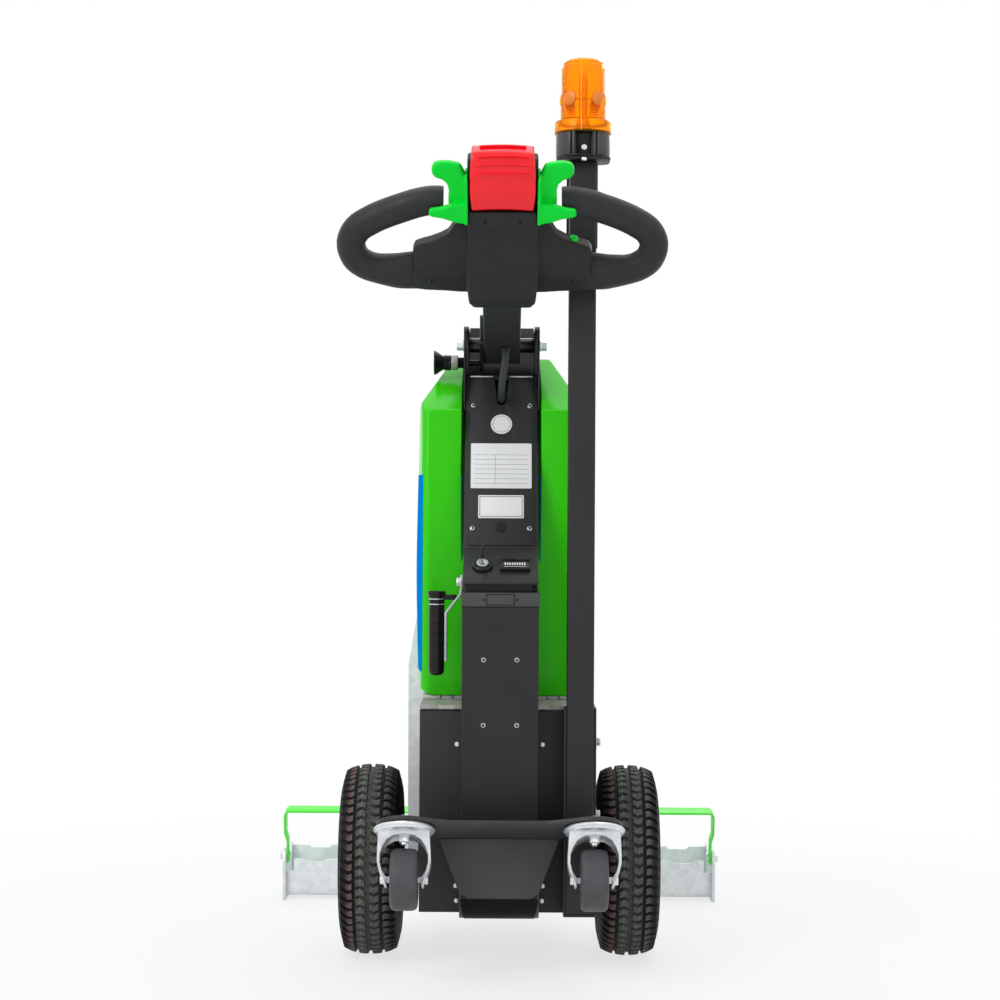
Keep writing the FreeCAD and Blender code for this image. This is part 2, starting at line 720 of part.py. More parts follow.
def tiller_pivot_bolt():
    """Bolt through both ears, with a washer, a head and a nut outside them."""
    end = EAR_OUTER + 2
    shank = rod_x(-end, end, PIVOT_Y, PIVOT_Z, PIVOT_RADIUS - RUNNING_FIT)
    washer = rod_x(EAR_OUTER, end, PIVOT_Y, PIVOT_Z, PIVOT_WASHER_RADIUS)
    head = hexagon(V(end, PIVOT_Y, PIVOT_Z), X_AXIS, PIVOT_NUT, 8)
    return joined(shank, washer, mirrored(washer), head, mirrored(head))


def index_plunger():
    """Spring plunger screwed in the left ear, its pin drawn back from the sector by the running gap."""
    y, z = index_place()
    ear = -EAR_OUTER
    pin = rod_x(-(TILLER_HALF + SECTOR_SHEET + PLAY), ear, y, z, INDEX_PIN_RADIUS)
    thread = rod_x(ear + EAR_SHEET, ear - 9, y, z, INDEX_THREAD_RADIUS)
    nut = hexagon(V(ear - 9, y, z), V(-1, 0, 0), 22, 9)
    neck = rod_x(ear - 18, ear - 30, y, z, 11)
    knob = Part.makeCone(10, 17, 10, V(ear - 30, y, z), V(-1, 0, 0))
    rim = rod_x(ear - 42, ear - 40, y, z, 16)
    return joined(pin, thread, nut, neck, knob, rim)


# ---- tiller --------------------------------------------------------------------------------------

def tiller_tube():
    """Square tube with a rounded end at the pivot, bored for the pivot sleeve."""
    half = TILLER_HALF
    length = TILLER_LENGTH
    outer = joined(block(-half, half, -length, 0, -half, half), rod_x(-half, half, 0, 0, half))
    wall = TILLER_WALL
    inner = block(-half + wall, half - wall, -length - 1, -half - 2, -half + wall, half - wall)
    return on_tiller(outer.cut([inner, rod_x(-half - 1, half + 1, 0, 0, SLEEVE_RADIUS)]))


def pivot_sleeve():
    """Sleeve through the tube's end, as long as the yoke is wide inside."""
    reach = EAR_OUTER - EAR_SHEET - PLAY
    sleeve = rod_x(-reach, reach, 0, 0, SLEEVE_RADIUS)
    return on_tiller(sleeve.cut(rod_x(-reach - 1, reach + 1, 0, 0, PIVOT_RADIUS)))


def index_sector():
    """Plate beside the tube with the holes that the plunger enters."""
    inner = -TILLER_HALF
    outer = inner - SECTOR_SHEET
    disc = rod_x(outer, inner, 0, 0, SECTOR_RADIUS)
    tail = TILLER_HALF - 4
    arm = side_prism([(-SECTOR_REACH, -tail), (0, -SECTOR_RADIUS), (0, SECTOR_RADIUS), (-SECTOR_REACH, tail)],
                     outer, inner, [6, 0, 0, 6])
    plate = joined(disc, arm).cut(rod_x(outer - 1, inner + 1, 0, 0, SLEEVE_RADIUS))
    for step in range(INDEX_HOLES):
        angle = math.radians(INDEX_ANGLE - step * INDEX_STEP + TILLER_RISE)
        hole = rod_x(outer - 1, inner + 1, INDEX_RADIUS * math.cos(angle), INDEX_RADIUS * math.sin(angle),
                     INDEX_PIN_RADIUS + 0.4)
        plate = plate.cut(hole)
    return on_tiller(plate)


def head_body():
    """Housing of the tiller head: a neck around the tube, a middle with the controls and two shoulders."""
    half = SHOULDER_THICK / 2
    right = plan_prism([(0, -1), (SHOULDER_HALF - 23, -4), (SHOULDER_HALF, -24), (SHOULDER_HALF, -66),
                        (80, -77), (63, -92), (50, -106), (0, -106)], -half, half,
                       [0, 12, 10, 4, 10, 10, 6, 0])
    form = on_head(joined(head_core(), right, mirrored(right)))
    neck_half = TILLER_HALF + NECK_WALL
    neck_side = HEAD_CORE_HALF - 1
    neck = block(-neck_side, neck_side, -HEAD_REACH - 10, -NECK_START, -neck_half, neck_half)
    return joined(form, on_tiller(neck)).cut([on_tiller(tube_space()), horn_socket()])


def head_core():
    """Middle of the housing, with a step at its tip for the belly button."""
    belly = -HEAD_CORE_BELLY
    back = HEAD_CORE_BACK
    step = belly + BUTTON_THICK
    tip = -HEAD_LENGTH + BUTTON_THICK
    side = [(12, belly), (-BUTTON_START, belly), (-BUTTON_START, step), (tip, step), (tip, back - 12),
            (-BUTTON_START, back), (12, back)]
    return side_prism(side, -HEAD_CORE_HALF, HEAD_CORE_HALF, [12, 2, 0, 6, 8, 40, 12])


def tube_space():
    """The room inside the neck for the tiller tube."""
    half = TILLER_HALF
    return block(-half, half, -TILLER_LENGTH, 0, -half, half)


def belly_button():
    """Safety button around the tip of the head, bulging on the underside."""
    belly = -HEAD_CORE_BELLY
    step = belly + BUTTON_THICK
    inner = -HEAD_LENGTH + BUTTON_THICK
    top = HEAD_CORE_BACK - 14
    side = [(-BUTTON_START - 1, step), (-BUTTON_START - 1, belly - 1), (-BUTTON_START - 34, belly - 7),
            (-HEAD_LENGTH, belly + 6), (-HEAD_LENGTH, top), (inner, top), (inner, step)]
    return on_head(side_prism(side, -HEAD_CORE_HALF, HEAD_CORE_HALF, [0, 5, 90, 22, 6, 0, 5.5]))


def throttle_wing():
    """Thumb lever beside the head: a base on the housing, a paddle and a finger across the grip."""
    low = -HEAD_CORE_BELLY - 6
    base = block(HEAD_CORE_HALF, WING_X + 3, -178, -108, low, 4)
    paddle = [(WING_X, -112), (70, -112), (70, -160), (89, -168), (89, -190), (56, -193), (WING_X, -176)]
    lever = plan_prism(paddle, low + WING_SHEET, low + 2 * WING_SHEET, [0, 4, 14, 7, 9, 12, 6])
    finger = plan_prism([(WING_X, -114), (92, -118), (92, -132), (WING_X, -138)], low, low + WING_SHEET,
                        [0, 6, 6, 0])
    return on_head(joined(base, lever, finger))


def horn_button():
    """Small green button on the far edge of the right shoulder."""
    return on_head(rod(V(HORN_X, -HORN_FLOOR, 0), V(0, -1, 0), HORN_RADIUS, HORN_LENGTH))


def horn_socket():
    """Hole in the shoulder around the horn button."""
    return on_head(rod(V(HORN_X, -HORN_FLOOR, 0), V(0, -1, 0), HORN_RADIUS + PLAY, 2 * HORN_LENGTH))


def grip_loop():
    """Hand grip: a straight upper grip with a free end, a round end and a lower bar to the shoulder."""
    turn = math.radians(GRIP_TILT)
    centre = V(GRIP_END_X, -GRIP_END_Y, 0)
    radius = GRIP_END_RADIUS
    leave = centre + V(math.cos(turn), -math.sin(turn), 0) * radius
    run = (leave.x - GRIP_START_X) / math.sin(turn)
    start = leave + V(-math.sin(turn), -math.cos(turn), 0) * run
    low = centre + V(0, radius, 0)
    half_turn = (turn - math.pi / 2) / 2
    middle = centre + V(math.cos(half_turn), -math.sin(half_turn), 0) * radius
    path = Part.Wire([Part.LineSegment(start, leave).toShape(), Part.Arc(leave, middle, low).toShape(),
                      Part.LineSegment(low, V(SHOULDER_HALF, low.y, 0)).toShape()])
    return on_head(pipe(path, GRIP_RADIUS))


def cable_points():
    """The cable's route: straight down from the tiller's underside, a bend, then into the column's slot."""
    rise = math.radians(TILLER_RISE)
    down = V(0, -math.sin(rise), -math.cos(rise))
    start = V(CABLE_X, PIVOT_Y - CABLE_EXIT * math.cos(rise), PIVOT_Z + CABLE_EXIT * math.sin(rise))
    start = start + down * TILLER_HALF
    entry_z = UPPER_COLUMN_TOP - CABLE_SLOT_LENGTH + CABLE_RADIUS + 3
    end = V(0, column_face(entry_z) + UPPER_COLUMN_WALL, entry_z)
    bend = V(0, (start.y + end.y) / 2 - 11, end.z + 16)
    return [start, start + down * 14, bend, end]


def tiller_cable():
    """Control cable from the tiller's underside into the column's slot."""
    points = cable_points()
    return pipe(bent_path(points, run_radii(points)), CABLE_RADIUS)


def run_radii(points):
    """The largest tangent arcs that the runs beside each inner point allow."""
    radii = []
    for index in range(1, len(points) - 1):
        back = points[index - 1] - points[index]
        ahead = points[index + 1] - points[index]
        half_turn = (math.pi - back.getAngle(ahead)) / 2
        radii.append(0.45 * min(back.Length, ahead.Length) / math.tan(half_turn))
    return radii


# ---- controls on the column ----------------------------------------------------------------------

def on_console(shape):
    """From a flat layout (z outward) to the console's slope, its middle at the origin."""
    low = V(0, CONSOLE_LOW_EDGE, LOWER_COLUMN_TOP + CONSOLE_SEAM + CONSOLE_LIP)
    high = V(0, column_face(CONSOLE_TOP), CONSOLE_TOP)
    slope = math.degrees(math.atan2(high.z - low.z, high.y - low.y))
    return moved(turned(shape, V(0, 0, 0), X_AXIS, slope), (low + high) * 0.5)


def key_switch():
    bezel = rod(V(KEY_X, KEY_UP, 0), Z_AXIS, KEY_SWITCH_RADIUS, 5)
    barrel = rod(V(KEY_X, KEY_UP, 0), Z_AXIS, 8, 8)
    key = block(KEY_X - 1.5, KEY_X + 1.5, KEY_UP - 7, KEY_UP + 7, 8, 30)
    return on_console(joined(bezel, barrel, key))


def battery_gauge():
    return on_console(plan_prism([(GAUGE_X - GAUGE_WIDTH / 2, KEY_UP - GAUGE_HEIGHT / 2),
                                  (GAUGE_X + GAUGE_WIDTH / 2, KEY_UP - GAUGE_HEIGHT / 2),
                                  (GAUGE_X + GAUGE_WIDTH / 2, KEY_UP + GAUGE_HEIGHT / 2),
                                  (GAUGE_X - GAUGE_WIDTH / 2, KEY_UP + GAUGE_HEIGHT / 2)], 0, 5, 3))


def lamp_strap():
    """Bent steel strap on the column's left side that carries the hand lamp."""
    bolt_z = STRAP_BOLT_Z
    y = column_face(bolt_z) + UPPER_COLUMN_DEPTH * 0.35
    x = -UPPER_COLUMN_HALF
    t = STRAP_SHEET
    past = -COLUMN_HALF - 1
    step = LOWER_COLUMN_TOP
    points = [(x, bolt_z + 9), (x, step + 2), (past, step), (past, bolt_z - 17), (LAMP_STRAP_X, bolt_z - 42),
              (LAMP_STRAP_X, STRAP_END_Z), (LAMP_STRAP_X - t, STRAP_END_Z), (LAMP_STRAP_X - t, bolt_z - 40.5),
              (past - t, bolt_z - 15.5), (past - t, step + 0.5), (x - t, step + 2.5), (x - t, bolt_z + 9)]
    strap = front_prism(points, y - STRAP_WIDTH / 2, y + STRAP_WIDTH / 2)
    bolt = hexagon(V(x - t, y, bolt_z), V(-1, 0, 0), 10, 5)
    return joined(strap, bolt)


def hand_lamp():
    """Black torch held upright by the strap, its wider head at the top."""
    bolt_y = column_face(STRAP_BOLT_Z) + UPPER_COLUMN_DEPTH * 0.35
    x = LAMP_STRAP_X - STRAP_SHEET - LAMP_RADIUS
    low = STRAP_END_Z - LAMP_DROP
    body = rod(V(x, bolt_y, low), Z_AXIS, LAMP_RADIUS, LAMP_LENGTH - LAMP_HEAD_HEIGHT)
    head = rod(V(x, bolt_y, low + LAMP_LENGTH - LAMP_HEAD_HEIGHT), Z_AXIS, LAMP_HEAD_RADIUS, LAMP_HEAD_HEIGHT)
    return joined(body, head)


# ---- mast ----------------------------------------------------------------------------------------

def mast_pole():
    half = MAST_SIZE / 2
    rear = CHASSIS_REAR - MAST_SIZE
    outer = block(MAST_X - half, MAST_X + half, rear, CHASSIS_REAR, MAST_BOTTOM, MAST_TOP)
    half -= MAST_WALL
    inner = block(MAST_X - half, MAST_X + half, rear + MAST_WALL, CHASSIS_REAR - MAST_WALL, MAST_BOTTOM,
                  MAST_TOP - MAST_WALL)
    return outer.cut(inner)


def mast_channel():
    """Side plates that hold the mast's foot against the chassis."""
    half = MAST_SIZE / 2
    sheet = MAST_CHANNEL_SHEET
    rear = CHASSIS_REAR - MAST_SIZE
    low = CHASSIS_BOTTOM
    inner = block(MAST_X - half - sheet, MAST_X - half, rear + 4, CHASSIS_REAR, low, MAST_CHANNEL_TOP)
    outer = block(MAST_X + half, MAST_X + half + sheet, rear + 4, CHASSIS_REAR + 30, low, MAST_CHANNEL_TOP)
    tab = block(CHASSIS_WIDTH / 2, MAST_X + half, CHASSIS_REAR, CHASSIS_REAR + sheet, low, MAST_CHANNEL_TOP)
    floor = block(MAST_X - half, MAST_X + half, rear + 4, CHASSIS_REAR, low, MAST_BOTTOM)
    return joined(inner, outer, tab, floor)


def beacon_bracket():
    """Plate on the mast's top with a shelf for the beacon."""
    half = MAST_SIZE / 2 + 3
    rear = CHASSIS_REAR - MAST_SIZE
    back = block(MAST_X - half, MAST_X + half, CHASSIS_REAR, CHASSIS_REAR + 3, MAST_TOP - 110, MAST_TOP + 3)
    left = MAST_X - BEACON_RADIUS
    right = MAST_X + BEACON_RADIUS
    near = rear - 16
    far = CHASSIS_REAR + 4
    shelf = plan_prism([(left, near), (right, near), (right, far), (left, far)], MAST_TOP, MAST_TOP + 3, 12)
    return joined(back, shelf)


def beacon_middle():
    return V(MAST_X, CHASSIS_REAR - MAST_SIZE / 2, MAST_TOP + 3)


def beacon_base():
    """Black ribbed socket under the lens."""
    foot = beacon_middle()
    body = rod(foot, Z_AXIS, BEACON_RADIUS, BEACON_BASE_HEIGHT)
    for turn in range(8):
        slot = block(BEACON_RADIUS - 5, BEACON_RADIUS + 5, -5, 5, 8, BEACON_BASE_HEIGHT - 6)
        body = body.cut(moved(turned(slot, V(0, 0, 0), Z_AXIS, turn * 45 + 22.5), foot))
    return body


def beacon_lens():
    """Ribbed amber lens on a wide foot ring."""
    x, y, foot = beacon_middle()
    low = foot + BEACON_BASE_HEIGHT
    ring = low + BEACON_FLANGE_HEIGHT
    radius = BEACON_LENS_RADIUS
    top = BEACON_TOP
    section = [(0, low), (BEACON_FLANGE_RADIUS, low), (BEACON_FLANGE_RADIUS, ring - 3),
               (BEACON_FLANGE_RADIUS - 3, ring), (radius + 2, ring), (radius + 1, ring + 18),
               (radius + 3, ring + 24), (radius + 3, ring + 32), (radius, ring + 38), (radius - 1, top - 12),
               (radius - 4, top - 6), (radius * 0.5, top - 1), (0, top)]
    return turned_z(section, x, y, 0)


# ---- castor plate and castors --------------------------------------------------------------------

def castor_plate():
    """Sloped boomerang plate behind the chassis with a round end over each castor."""
    lead = -PLATE_DEPTH
    swivel = V(CASTOR_X, -CASTOR_ALONG, 0)
    side = PLATE_HALF_ROOT
    radius = CASTOR_PAD_RADIUS
    neck = -(MAST_SIZE + 5) / math.cos(math.radians(PLATE_TILT))
    right = [(side, 5), (side, neck), (CASTOR_X + radius * 0.6, swivel.y + radius * 0.8),
             (CASTOR_X - radius * 0.3, swivel.y - radius * 0.95), (PLATE_HALF_LEAD, lead)]
    left = [(-x, y) for x, y in reversed(right)]
    web = plan_prism(right + left, 0, PLATE_SHEET, [0, 12, 0, 0, 30, 30, 0, 0, 12, 0])
    pads = [rod(V(side_x, swivel.y, 0), Z_AXIS, radius, PLATE_SHEET) for side_x in (CASTOR_X, -CASTOR_X)]
    holes = [rod(V(side_x, swivel.y, -1), Z_AXIS, CASTOR_PIN_RADIUS, PLATE_SHEET + 2)
             for side_x in (CASTOR_X, -CASTOR_X)]
    plate = on_plate(joined(web, *pads).cut(holes))
    return plate.cut(block(-side - 1, side + 1, CHASSIS_REAR, CHASSIS_FRONT, CHASSIS_BOTTOM, CHASSIS_TOP))


def castor_kingpin():
    """Pin with a race under the plate, a nut on top and a head that carries the fork's crown."""
    foot = V(CASTOR_X, -CASTOR_ALONG, 0)
    head_top = -(CASTOR_RACE_HEIGHT + FORK_SHEET + 2 * PLAY)
    pin = rod(foot + V(0, 0, head_top), Z_AXIS, CASTOR_PIN_RADIUS - RUNNING_FIT, PLATE_SHEET + 3 - head_top)
    race = rod(foot + V(0, 0, -CASTOR_RACE_HEIGHT), Z_AXIS, CASTOR_RACE_RADIUS - 3, CASTOR_RACE_HEIGHT)
    nut = hexagon(foot + V(0, 0, PLATE_SHEET), Z_AXIS, 17, 6)
    head = rod(foot + V(0, 0, head_top - 4), Z_AXIS, CASTOR_PIN_RADIUS + 4, 4)
    return on_plate(joined(pin, race, nut, head))


def castor_fork():
    """Swivel crown and two bowed legs with the wheel's axle, trailing down the slope."""
    crown_top = -CASTOR_RACE_HEIGHT - PLAY
    crown = rod(V(0, 0, crown_top - FORK_SHEET), Z_AXIS, CASTOR_RACE_RADIUS, FORK_SHEET)
    axle_z = -(CASTOR_HEIGHT - CASTOR_WHEEL_RADIUS)
    axle_y = CASTOR_TRAIL
    wide = FORK_WIDE
    narrow = FORK_NARROW
    top = crown_top - FORK_SHEET
    leg = front_prism([(wide - 8, top + FORK_SHEET), (wide - 2, top + FORK_SHEET), (wide, top - 16),
                       (wide, axle_z + 24), (narrow, axle_z + 4), (narrow, axle_z - 8),
                       (narrow - FORK_SHEET, axle_z - 8), (narrow - FORK_SHEET, axle_z + 3),
                       (wide - FORK_SHEET, axle_z + 23), (wide - FORK_SHEET, top - 15),
                       (wide - 8, top - 6)], -40, 60,
                      [0, 3, 8, 12, 8, 0, 0, 6, 9, 6, 0])
    cut_low = side_prism([(-16, top + 8), (20, top + 8), (axle_y + 10, axle_z + 6), (axle_y + 10, axle_z - 9),
                          (axle_y - 10, axle_z - 9), (axle_y - 11, axle_z + 6)], -50, 50,
                         [0, 0, 6, 8, 8, 6])
    leg = leg.common(cut_low)
    axle = rod_x(-narrow - 4, narrow + 4, axle_y, axle_z, CASTOR_AXLE_RADIUS)
    head = hexagon(V(narrow, axle_y, axle_z), X_AXIS, 12, 5)
    fork = joined(crown, leg, mirrored(leg), axle, head, mirrored(head))
    fork = fork.cut(rod(V(0, 0, -30), Z_AXIS, CASTOR_PIN_RADIUS, 40))
    return on_plate(moved(fork, V(CASTOR_X, -CASTOR_ALONG, 0)))


def castor_wheel():
    """Grey wheel with its bore."""
    half = CASTOR_WHEEL_WIDTH / 2
    radius = CASTOR_WHEEL_RADIUS
    section = [(half, CASTOR_AXLE_RADIUS + RUNNING_FIT), (half, radius - 5), (half - 5, radius),
               (-half + 5, radius), (-half, radius - 5), (-half, CASTOR_AXLE_RADIUS + RUNNING_FIT)]
    wheel = turned_x(section, 0, CASTOR_TRAIL, -(CASTOR_HEIGHT - radius))
    return on_plate(moved(wheel, V(CASTOR_X, -CASTOR_ALONG, 0)))


# ---- coupling beam and bail ----------------------------------------------------------------------

def beam_arms():
    """Two arms from the front plate to the coupling channel."""
    start = CHASSIS_FRONT + SHEET
    low = BEAM_CLEARANCE + BEAM_BEND
    half = ARM_THICK / 2
    side = [(start, FRONT_PLATE_BOTTOM + 4), (BEAM_NEAR, low), (BEAM_NEAR, BEAM_NEAR_TOP - 6),
            (start + 50, FRONT_PLATE_BOTTOM + 84), (start, FRONT_PLATE_BOTTOM + 104)]
    arm = side_prism(side, ARM_X - half, ARM_X + half, [0, 0, 0, 30, 0])
    brace = block(-ARM_X + half, ARM_X - half, start + 70, start + 70 + ARM_THICK, 62, 120)
    return joined(arm, mirrored(arm), brace)


def coupling_channel():
    """Channel open on top, with a shallow notch near each end of both walls."""
    low = BEAM_CLEARANCE
    sheet = BEAM_SHEET
    section = [(BEAM_NEAR, low), (BEAM_FAR, low), (BEAM_FAR, BEAM_FAR_TOP), (BEAM_FAR - sheet, BEAM_FAR_TOP),
               (BEAM_FAR - sheet, low + sheet), (BEAM_NEAR + sheet, low + sheet),
               (BEAM_NEAR + sheet, BEAM_NEAR_TOP), (BEAM_NEAR, BEAM_NEAR_TOP)]
    bend = BEAM_BEND
    channel = side_prism(section, -BEAM_INNER, BEAM_INNER,
                         [bend, bend, 0, 0, bend - sheet, bend - sheet, 0, 0])
    channel = channel.cut(beam_notch(BEAM_NEAR - 1, BEAM_NEAR + sheet + 1, BEAM_NEAR_TOP))
    channel = channel.cut(beam_notch(BEAM_FAR - sheet - 1, BEAM_FAR + 1, BEAM_FAR_TOP))
    relief = block(BEAM_INNER - 12, BEAM_INNER, BEAM_NEAR - 1, BEAM_NEAR + sheet + 1, BEAM_NEAR_TOP - 19,
                   BEAM_NEAR_TOP + 1)
    return channel.cut([relief, mirrored(relief)])


def beam_notch(y0, y1, top):
    """The two notches of one wall."""
    half = NOTCH_WIDTH / 2
    right = front_prism([(NOTCH_X - half, top + 1), (NOTCH_X - half + 6, top - NOTCH_DEPTH),
                         (NOTCH_X + half - 6, top - NOTCH_DEPTH), (NOTCH_X + half, top + 1)], y0, y1)
    return Part.makeCompound([right, mirrored(right)])


def beam_end_plate():
    """Plate that closes the channel, stands on the floor and carries the bail's pin."""
    near = BEAM_NEAR - 8
    far = BEAM_FAR + 4
    side = [(near, 0), (far, 0), (far, END_PLATE_FAR_TOP), (far - 22, END_PLATE_FAR_TOP),
            (far - 34, BEAM_NEAR_TOP), (BAIL_Y + 18, BEAM_NEAR_TOP), (BAIL_Y + 8, BAIL_Z + 12),
            (BAIL_Y - 9, BAIL_Z + 12), (near, BAIL_Z - 6)]
    plate = side_prism(side, BEAM_INNER, BEAM_HALF, [6, 6, 5, 5, 6, 6, 6, 8, 6])
    return plate.cut(rod_x(0, BEAM_HALF + 1, BAIL_Y, BAIL_Z, BAIL_PIN_RADIUS))


def bail_pin():
    """Pin and nut of one bail eye."""
    inner = BEAM_INNER - BAIL_SHEET - PLAY * 2
    pin = rod_x(inner - 1.5, BEAM_HALF + 4, BAIL_Y, BAIL_Z, BAIL_PIN_RADIUS - RUNNING_FIT)
    head = rod_x(inner - 4, inner, BAIL_Y, BAIL_Z, 7)
    nut = hexagon(V(BEAM_HALF, BAIL_Y, BAIL_Z), X_AXIS, 13, 5)
    return joined(pin, head, nut)


def bail():
    """Bent flat bar across the beam, on a pin at each end."""
    half_top = BAIL_WIDTH / 2
    half_foot = BAIL_FOOT_WIDTH / 2
    sheet = BAIL_SHEET
    eye_x = BEAM_INNER - PLAY
    top_x = eye_x + BAIL_SPLAY
    high = BAIL_HEIGHT
    knee = 26.0
    front = [(eye_x, -half_foot), (eye_x, knee), (top_x, knee + 12), (top_x, high), (-top_x, high),
             (-top_x, knee + 12), (-eye_x, knee), (-eye_x, -half_foot), (-eye_x + sheet, -half_foot),
             (-eye_x + sheet, knee), (-top_x + sheet, knee + 12), (-top_x + sheet, high - sheet),
             (top_x - sheet, high - sheet), (top_x - sheet, knee + 12), (eye_x - sheet, knee),
             (eye_x - sheet, -half_foot)]
    bend = 9.0
    radii = [0, 4, 4, bend, bend, 4, 4, 0, 0, 4, 4, bend - sheet, bend - sheet, 4, 4, 0]
    strip = front_prism(front, -half_top, half_top, radii)
    shape = side_prism([(-half_foot, -half_foot), (half_foot, -half_foot), (half_foot, knee * 0.6),
                        (half_top, high - 14), (half_top, high + 1), (-half_top, high + 1),
                        (-half_top, high - 14), (-half_foot, knee * 0.6)], -top_x - 1, top_x + 1,
                       [half_foot - 0.5, half_foot - 0.5, 20, 10, 0, 0, 10, 20])
    bar = strip.common(shape).cut(rod_x(-top_x - 1, top_x + 1, 0, 0, BAIL_PIN_RADIUS))
    return on_bail(bar)


# ---- assembly ------------------------------------------------------------------------------------

place("chassis_frame", chassis_frame())
place("chassis_top_plate", chassis_top_plate())
place("hood_base_strip", hood_base_strip())
place("hood", hood())
place("battery_block", battery_block())
place("drive_unit", drive_unit())
place("front_plate", front_plate())
place("lower_rear_cover", lower_rear_cover())
place("castor_plate", castor_plate())
place("lower_column", lower_column())
place("console", console())
place("upper_column", upper_column())
place("column_cover_plate", column_cover_plate())
place("tiller_yoke", tiller_yoke())
place("tiller_pivot_bolt", tiller_pivot_bolt())
place("index_plunger", index_plunger())
place("key_switch", key_switch())
place("battery_gauge", battery_gauge())
place("lamp_strap", lamp_strap())
place("hand_lamp", hand_lamp())
place("mast_pole", mast_pole())
place("mast_channel", mast_channel())
place("beacon_bracket", beacon_bracket())
place("beacon_base", beacon_base())
place("beacon_lens", beacon_lens())
place("beam_arms", beam_arms())
place("coupling_channel", coupling_channel())
place("beam_end_plates", both_sides(beam_end_plate()))
place("bail_pins", both_sides(bail_pin()))
place("bail", bail())
place("tiller_tube", tiller_tube())
place("pivot_sleeve", pivot_sleeve())
place("index_sector", index_sector())
place("tiller_head", head_body())
place("belly_button", belly_button())
place("throttle_wings", both_sides(throttle_wing()))
place("horn_button", horn_button())
place_pair("hand_grip", grip_loop())
place("tiller_cable", tiller_cable())
place_pair("drive_tyre", drive_tyre())
place_pair("drive_rim", drive_rim())
place_pair("half_shaft", half_shaft())
place("castor_kingpins", both_sides(castor_kingpin()))
place_pair("castor_fork", castor_fork())
place_pair("castor_wheel", castor_wheel())

os.makedirs("parts", exist_ok=True)
for name, shape in parts.items():
    shape.exportStep("parts/" + name + ".step")

whole = Part.makeCompound(list(parts.values())).BoundBox
print("cable radii", [round(radius, 1) for radius in run_radii(cable_points())])
print("nodes", len(parts))
print("x", round(whole.XMin, 2), round(whole.XMax, 2))
print("y", round(whole.YMin, 2), round(whole.YMax, 2))
print("z", round(whole.ZMin, 2), round(whole.ZMax, 2))
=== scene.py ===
import json
import math

import bmesh
import bpy
from mathutils import Matrix, Vector


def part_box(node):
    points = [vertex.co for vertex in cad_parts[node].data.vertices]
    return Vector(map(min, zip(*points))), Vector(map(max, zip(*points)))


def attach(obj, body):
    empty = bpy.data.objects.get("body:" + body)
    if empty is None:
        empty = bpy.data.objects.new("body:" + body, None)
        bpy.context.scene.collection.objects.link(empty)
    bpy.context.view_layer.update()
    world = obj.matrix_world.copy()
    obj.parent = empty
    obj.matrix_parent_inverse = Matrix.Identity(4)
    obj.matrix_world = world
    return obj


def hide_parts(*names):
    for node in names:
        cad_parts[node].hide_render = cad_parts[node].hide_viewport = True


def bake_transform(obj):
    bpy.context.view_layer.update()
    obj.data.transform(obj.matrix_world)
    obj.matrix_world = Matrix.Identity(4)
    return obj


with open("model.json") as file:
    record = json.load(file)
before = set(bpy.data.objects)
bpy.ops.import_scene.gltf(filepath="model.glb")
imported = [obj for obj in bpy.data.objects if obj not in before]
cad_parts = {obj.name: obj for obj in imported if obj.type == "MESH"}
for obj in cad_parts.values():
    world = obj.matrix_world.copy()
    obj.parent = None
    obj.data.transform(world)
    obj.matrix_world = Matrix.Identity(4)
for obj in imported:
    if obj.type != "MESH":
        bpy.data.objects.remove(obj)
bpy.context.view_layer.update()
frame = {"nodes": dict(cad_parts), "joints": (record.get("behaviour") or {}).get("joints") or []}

# Shapes are drawn in millimetres in a handy place and then set into the frame, which is in metres.
TO_METRES = Matrix.Scale(0.001, 4)
MIRROR = Matrix.Scale(-1, 4, Vector((1, 0, 0)))


def shift(x, y, z):
    return Matrix.Translation((x, y, z))


def turn(axis, degrees):
    return Matrix.Rotation(math.radians(degrees), 4, axis)


def middle(node):
    """Middle of a CAD node at rest, in millimetres."""
    low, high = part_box(node)
    return (Vector(low) + Vector(high)) * 500


def corners_of(node):
    """Lowest and highest corner of a CAD node at rest, in millimetres."""
    low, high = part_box(node)
    return Vector(low) * 1000, Vector(high) * 1000


def foot_of(node):
    """Place at the foot of an upright CAD node, on its axis."""
    low, high = corners_of(node)
    return shift((low.x + high.x) / 2, (low.y + high.y) / 2, low.z)


# ---- places on the tug ----

joint_place = {joint["name"]: Vector(joint["pos_m"]) * 1000 for joint in frame["joints"]}
AT_TILLER_PIVOT = Matrix.Translation(joint_place["tiller_tilt"])
ON_TILLER = AT_TILLER_PIVOT @ turn("X", -20)
ON_HEAD = ON_TILLER @ shift(0, -212, -16.5) @ turn("X", -35)
COLUMN_FOOT = Vector((0, -193, 562))
ON_COLUMN = Matrix.Translation(COLUMN_FOOT) @ turn("X", 67.5)
ON_CONSOLE = shift(0, -226, 540.5) @ turn("X", 33.1)
REAR_WALL = -228                    # outer face of the chassis behind
ON_PLATE = shift(0, REAR_WALL, 172) @ turn("X", -23)
CASTOR_BACK = -94.5                 # the castors' pivots, along the castor plate from its fold
REARWARD = turn("X", 90)
OUTWARD = turn("Y", 90)
SIDEWAYS = turn("Z", 90) @ turn("X", 90)    # from a drawing in (y, z) that is extruded across


def on_column(x, z):
    """Place on the cover plate of the leaning column, facing outward, at a height above the floor."""
    along = (z - COLUMN_FOOT.z) / math.cos(math.radians(22.5))
    return ON_COLUMN @ shift(x, along, 2)


# ---- shapes ----

def sharp_edges(bm, degrees=30):
    bm.normal_update()
    limit = math.radians(degrees)
    return [edge for edge in bm.edges if len(edge.link_faces) == 2 and edge.calc_face_angle() > limit]


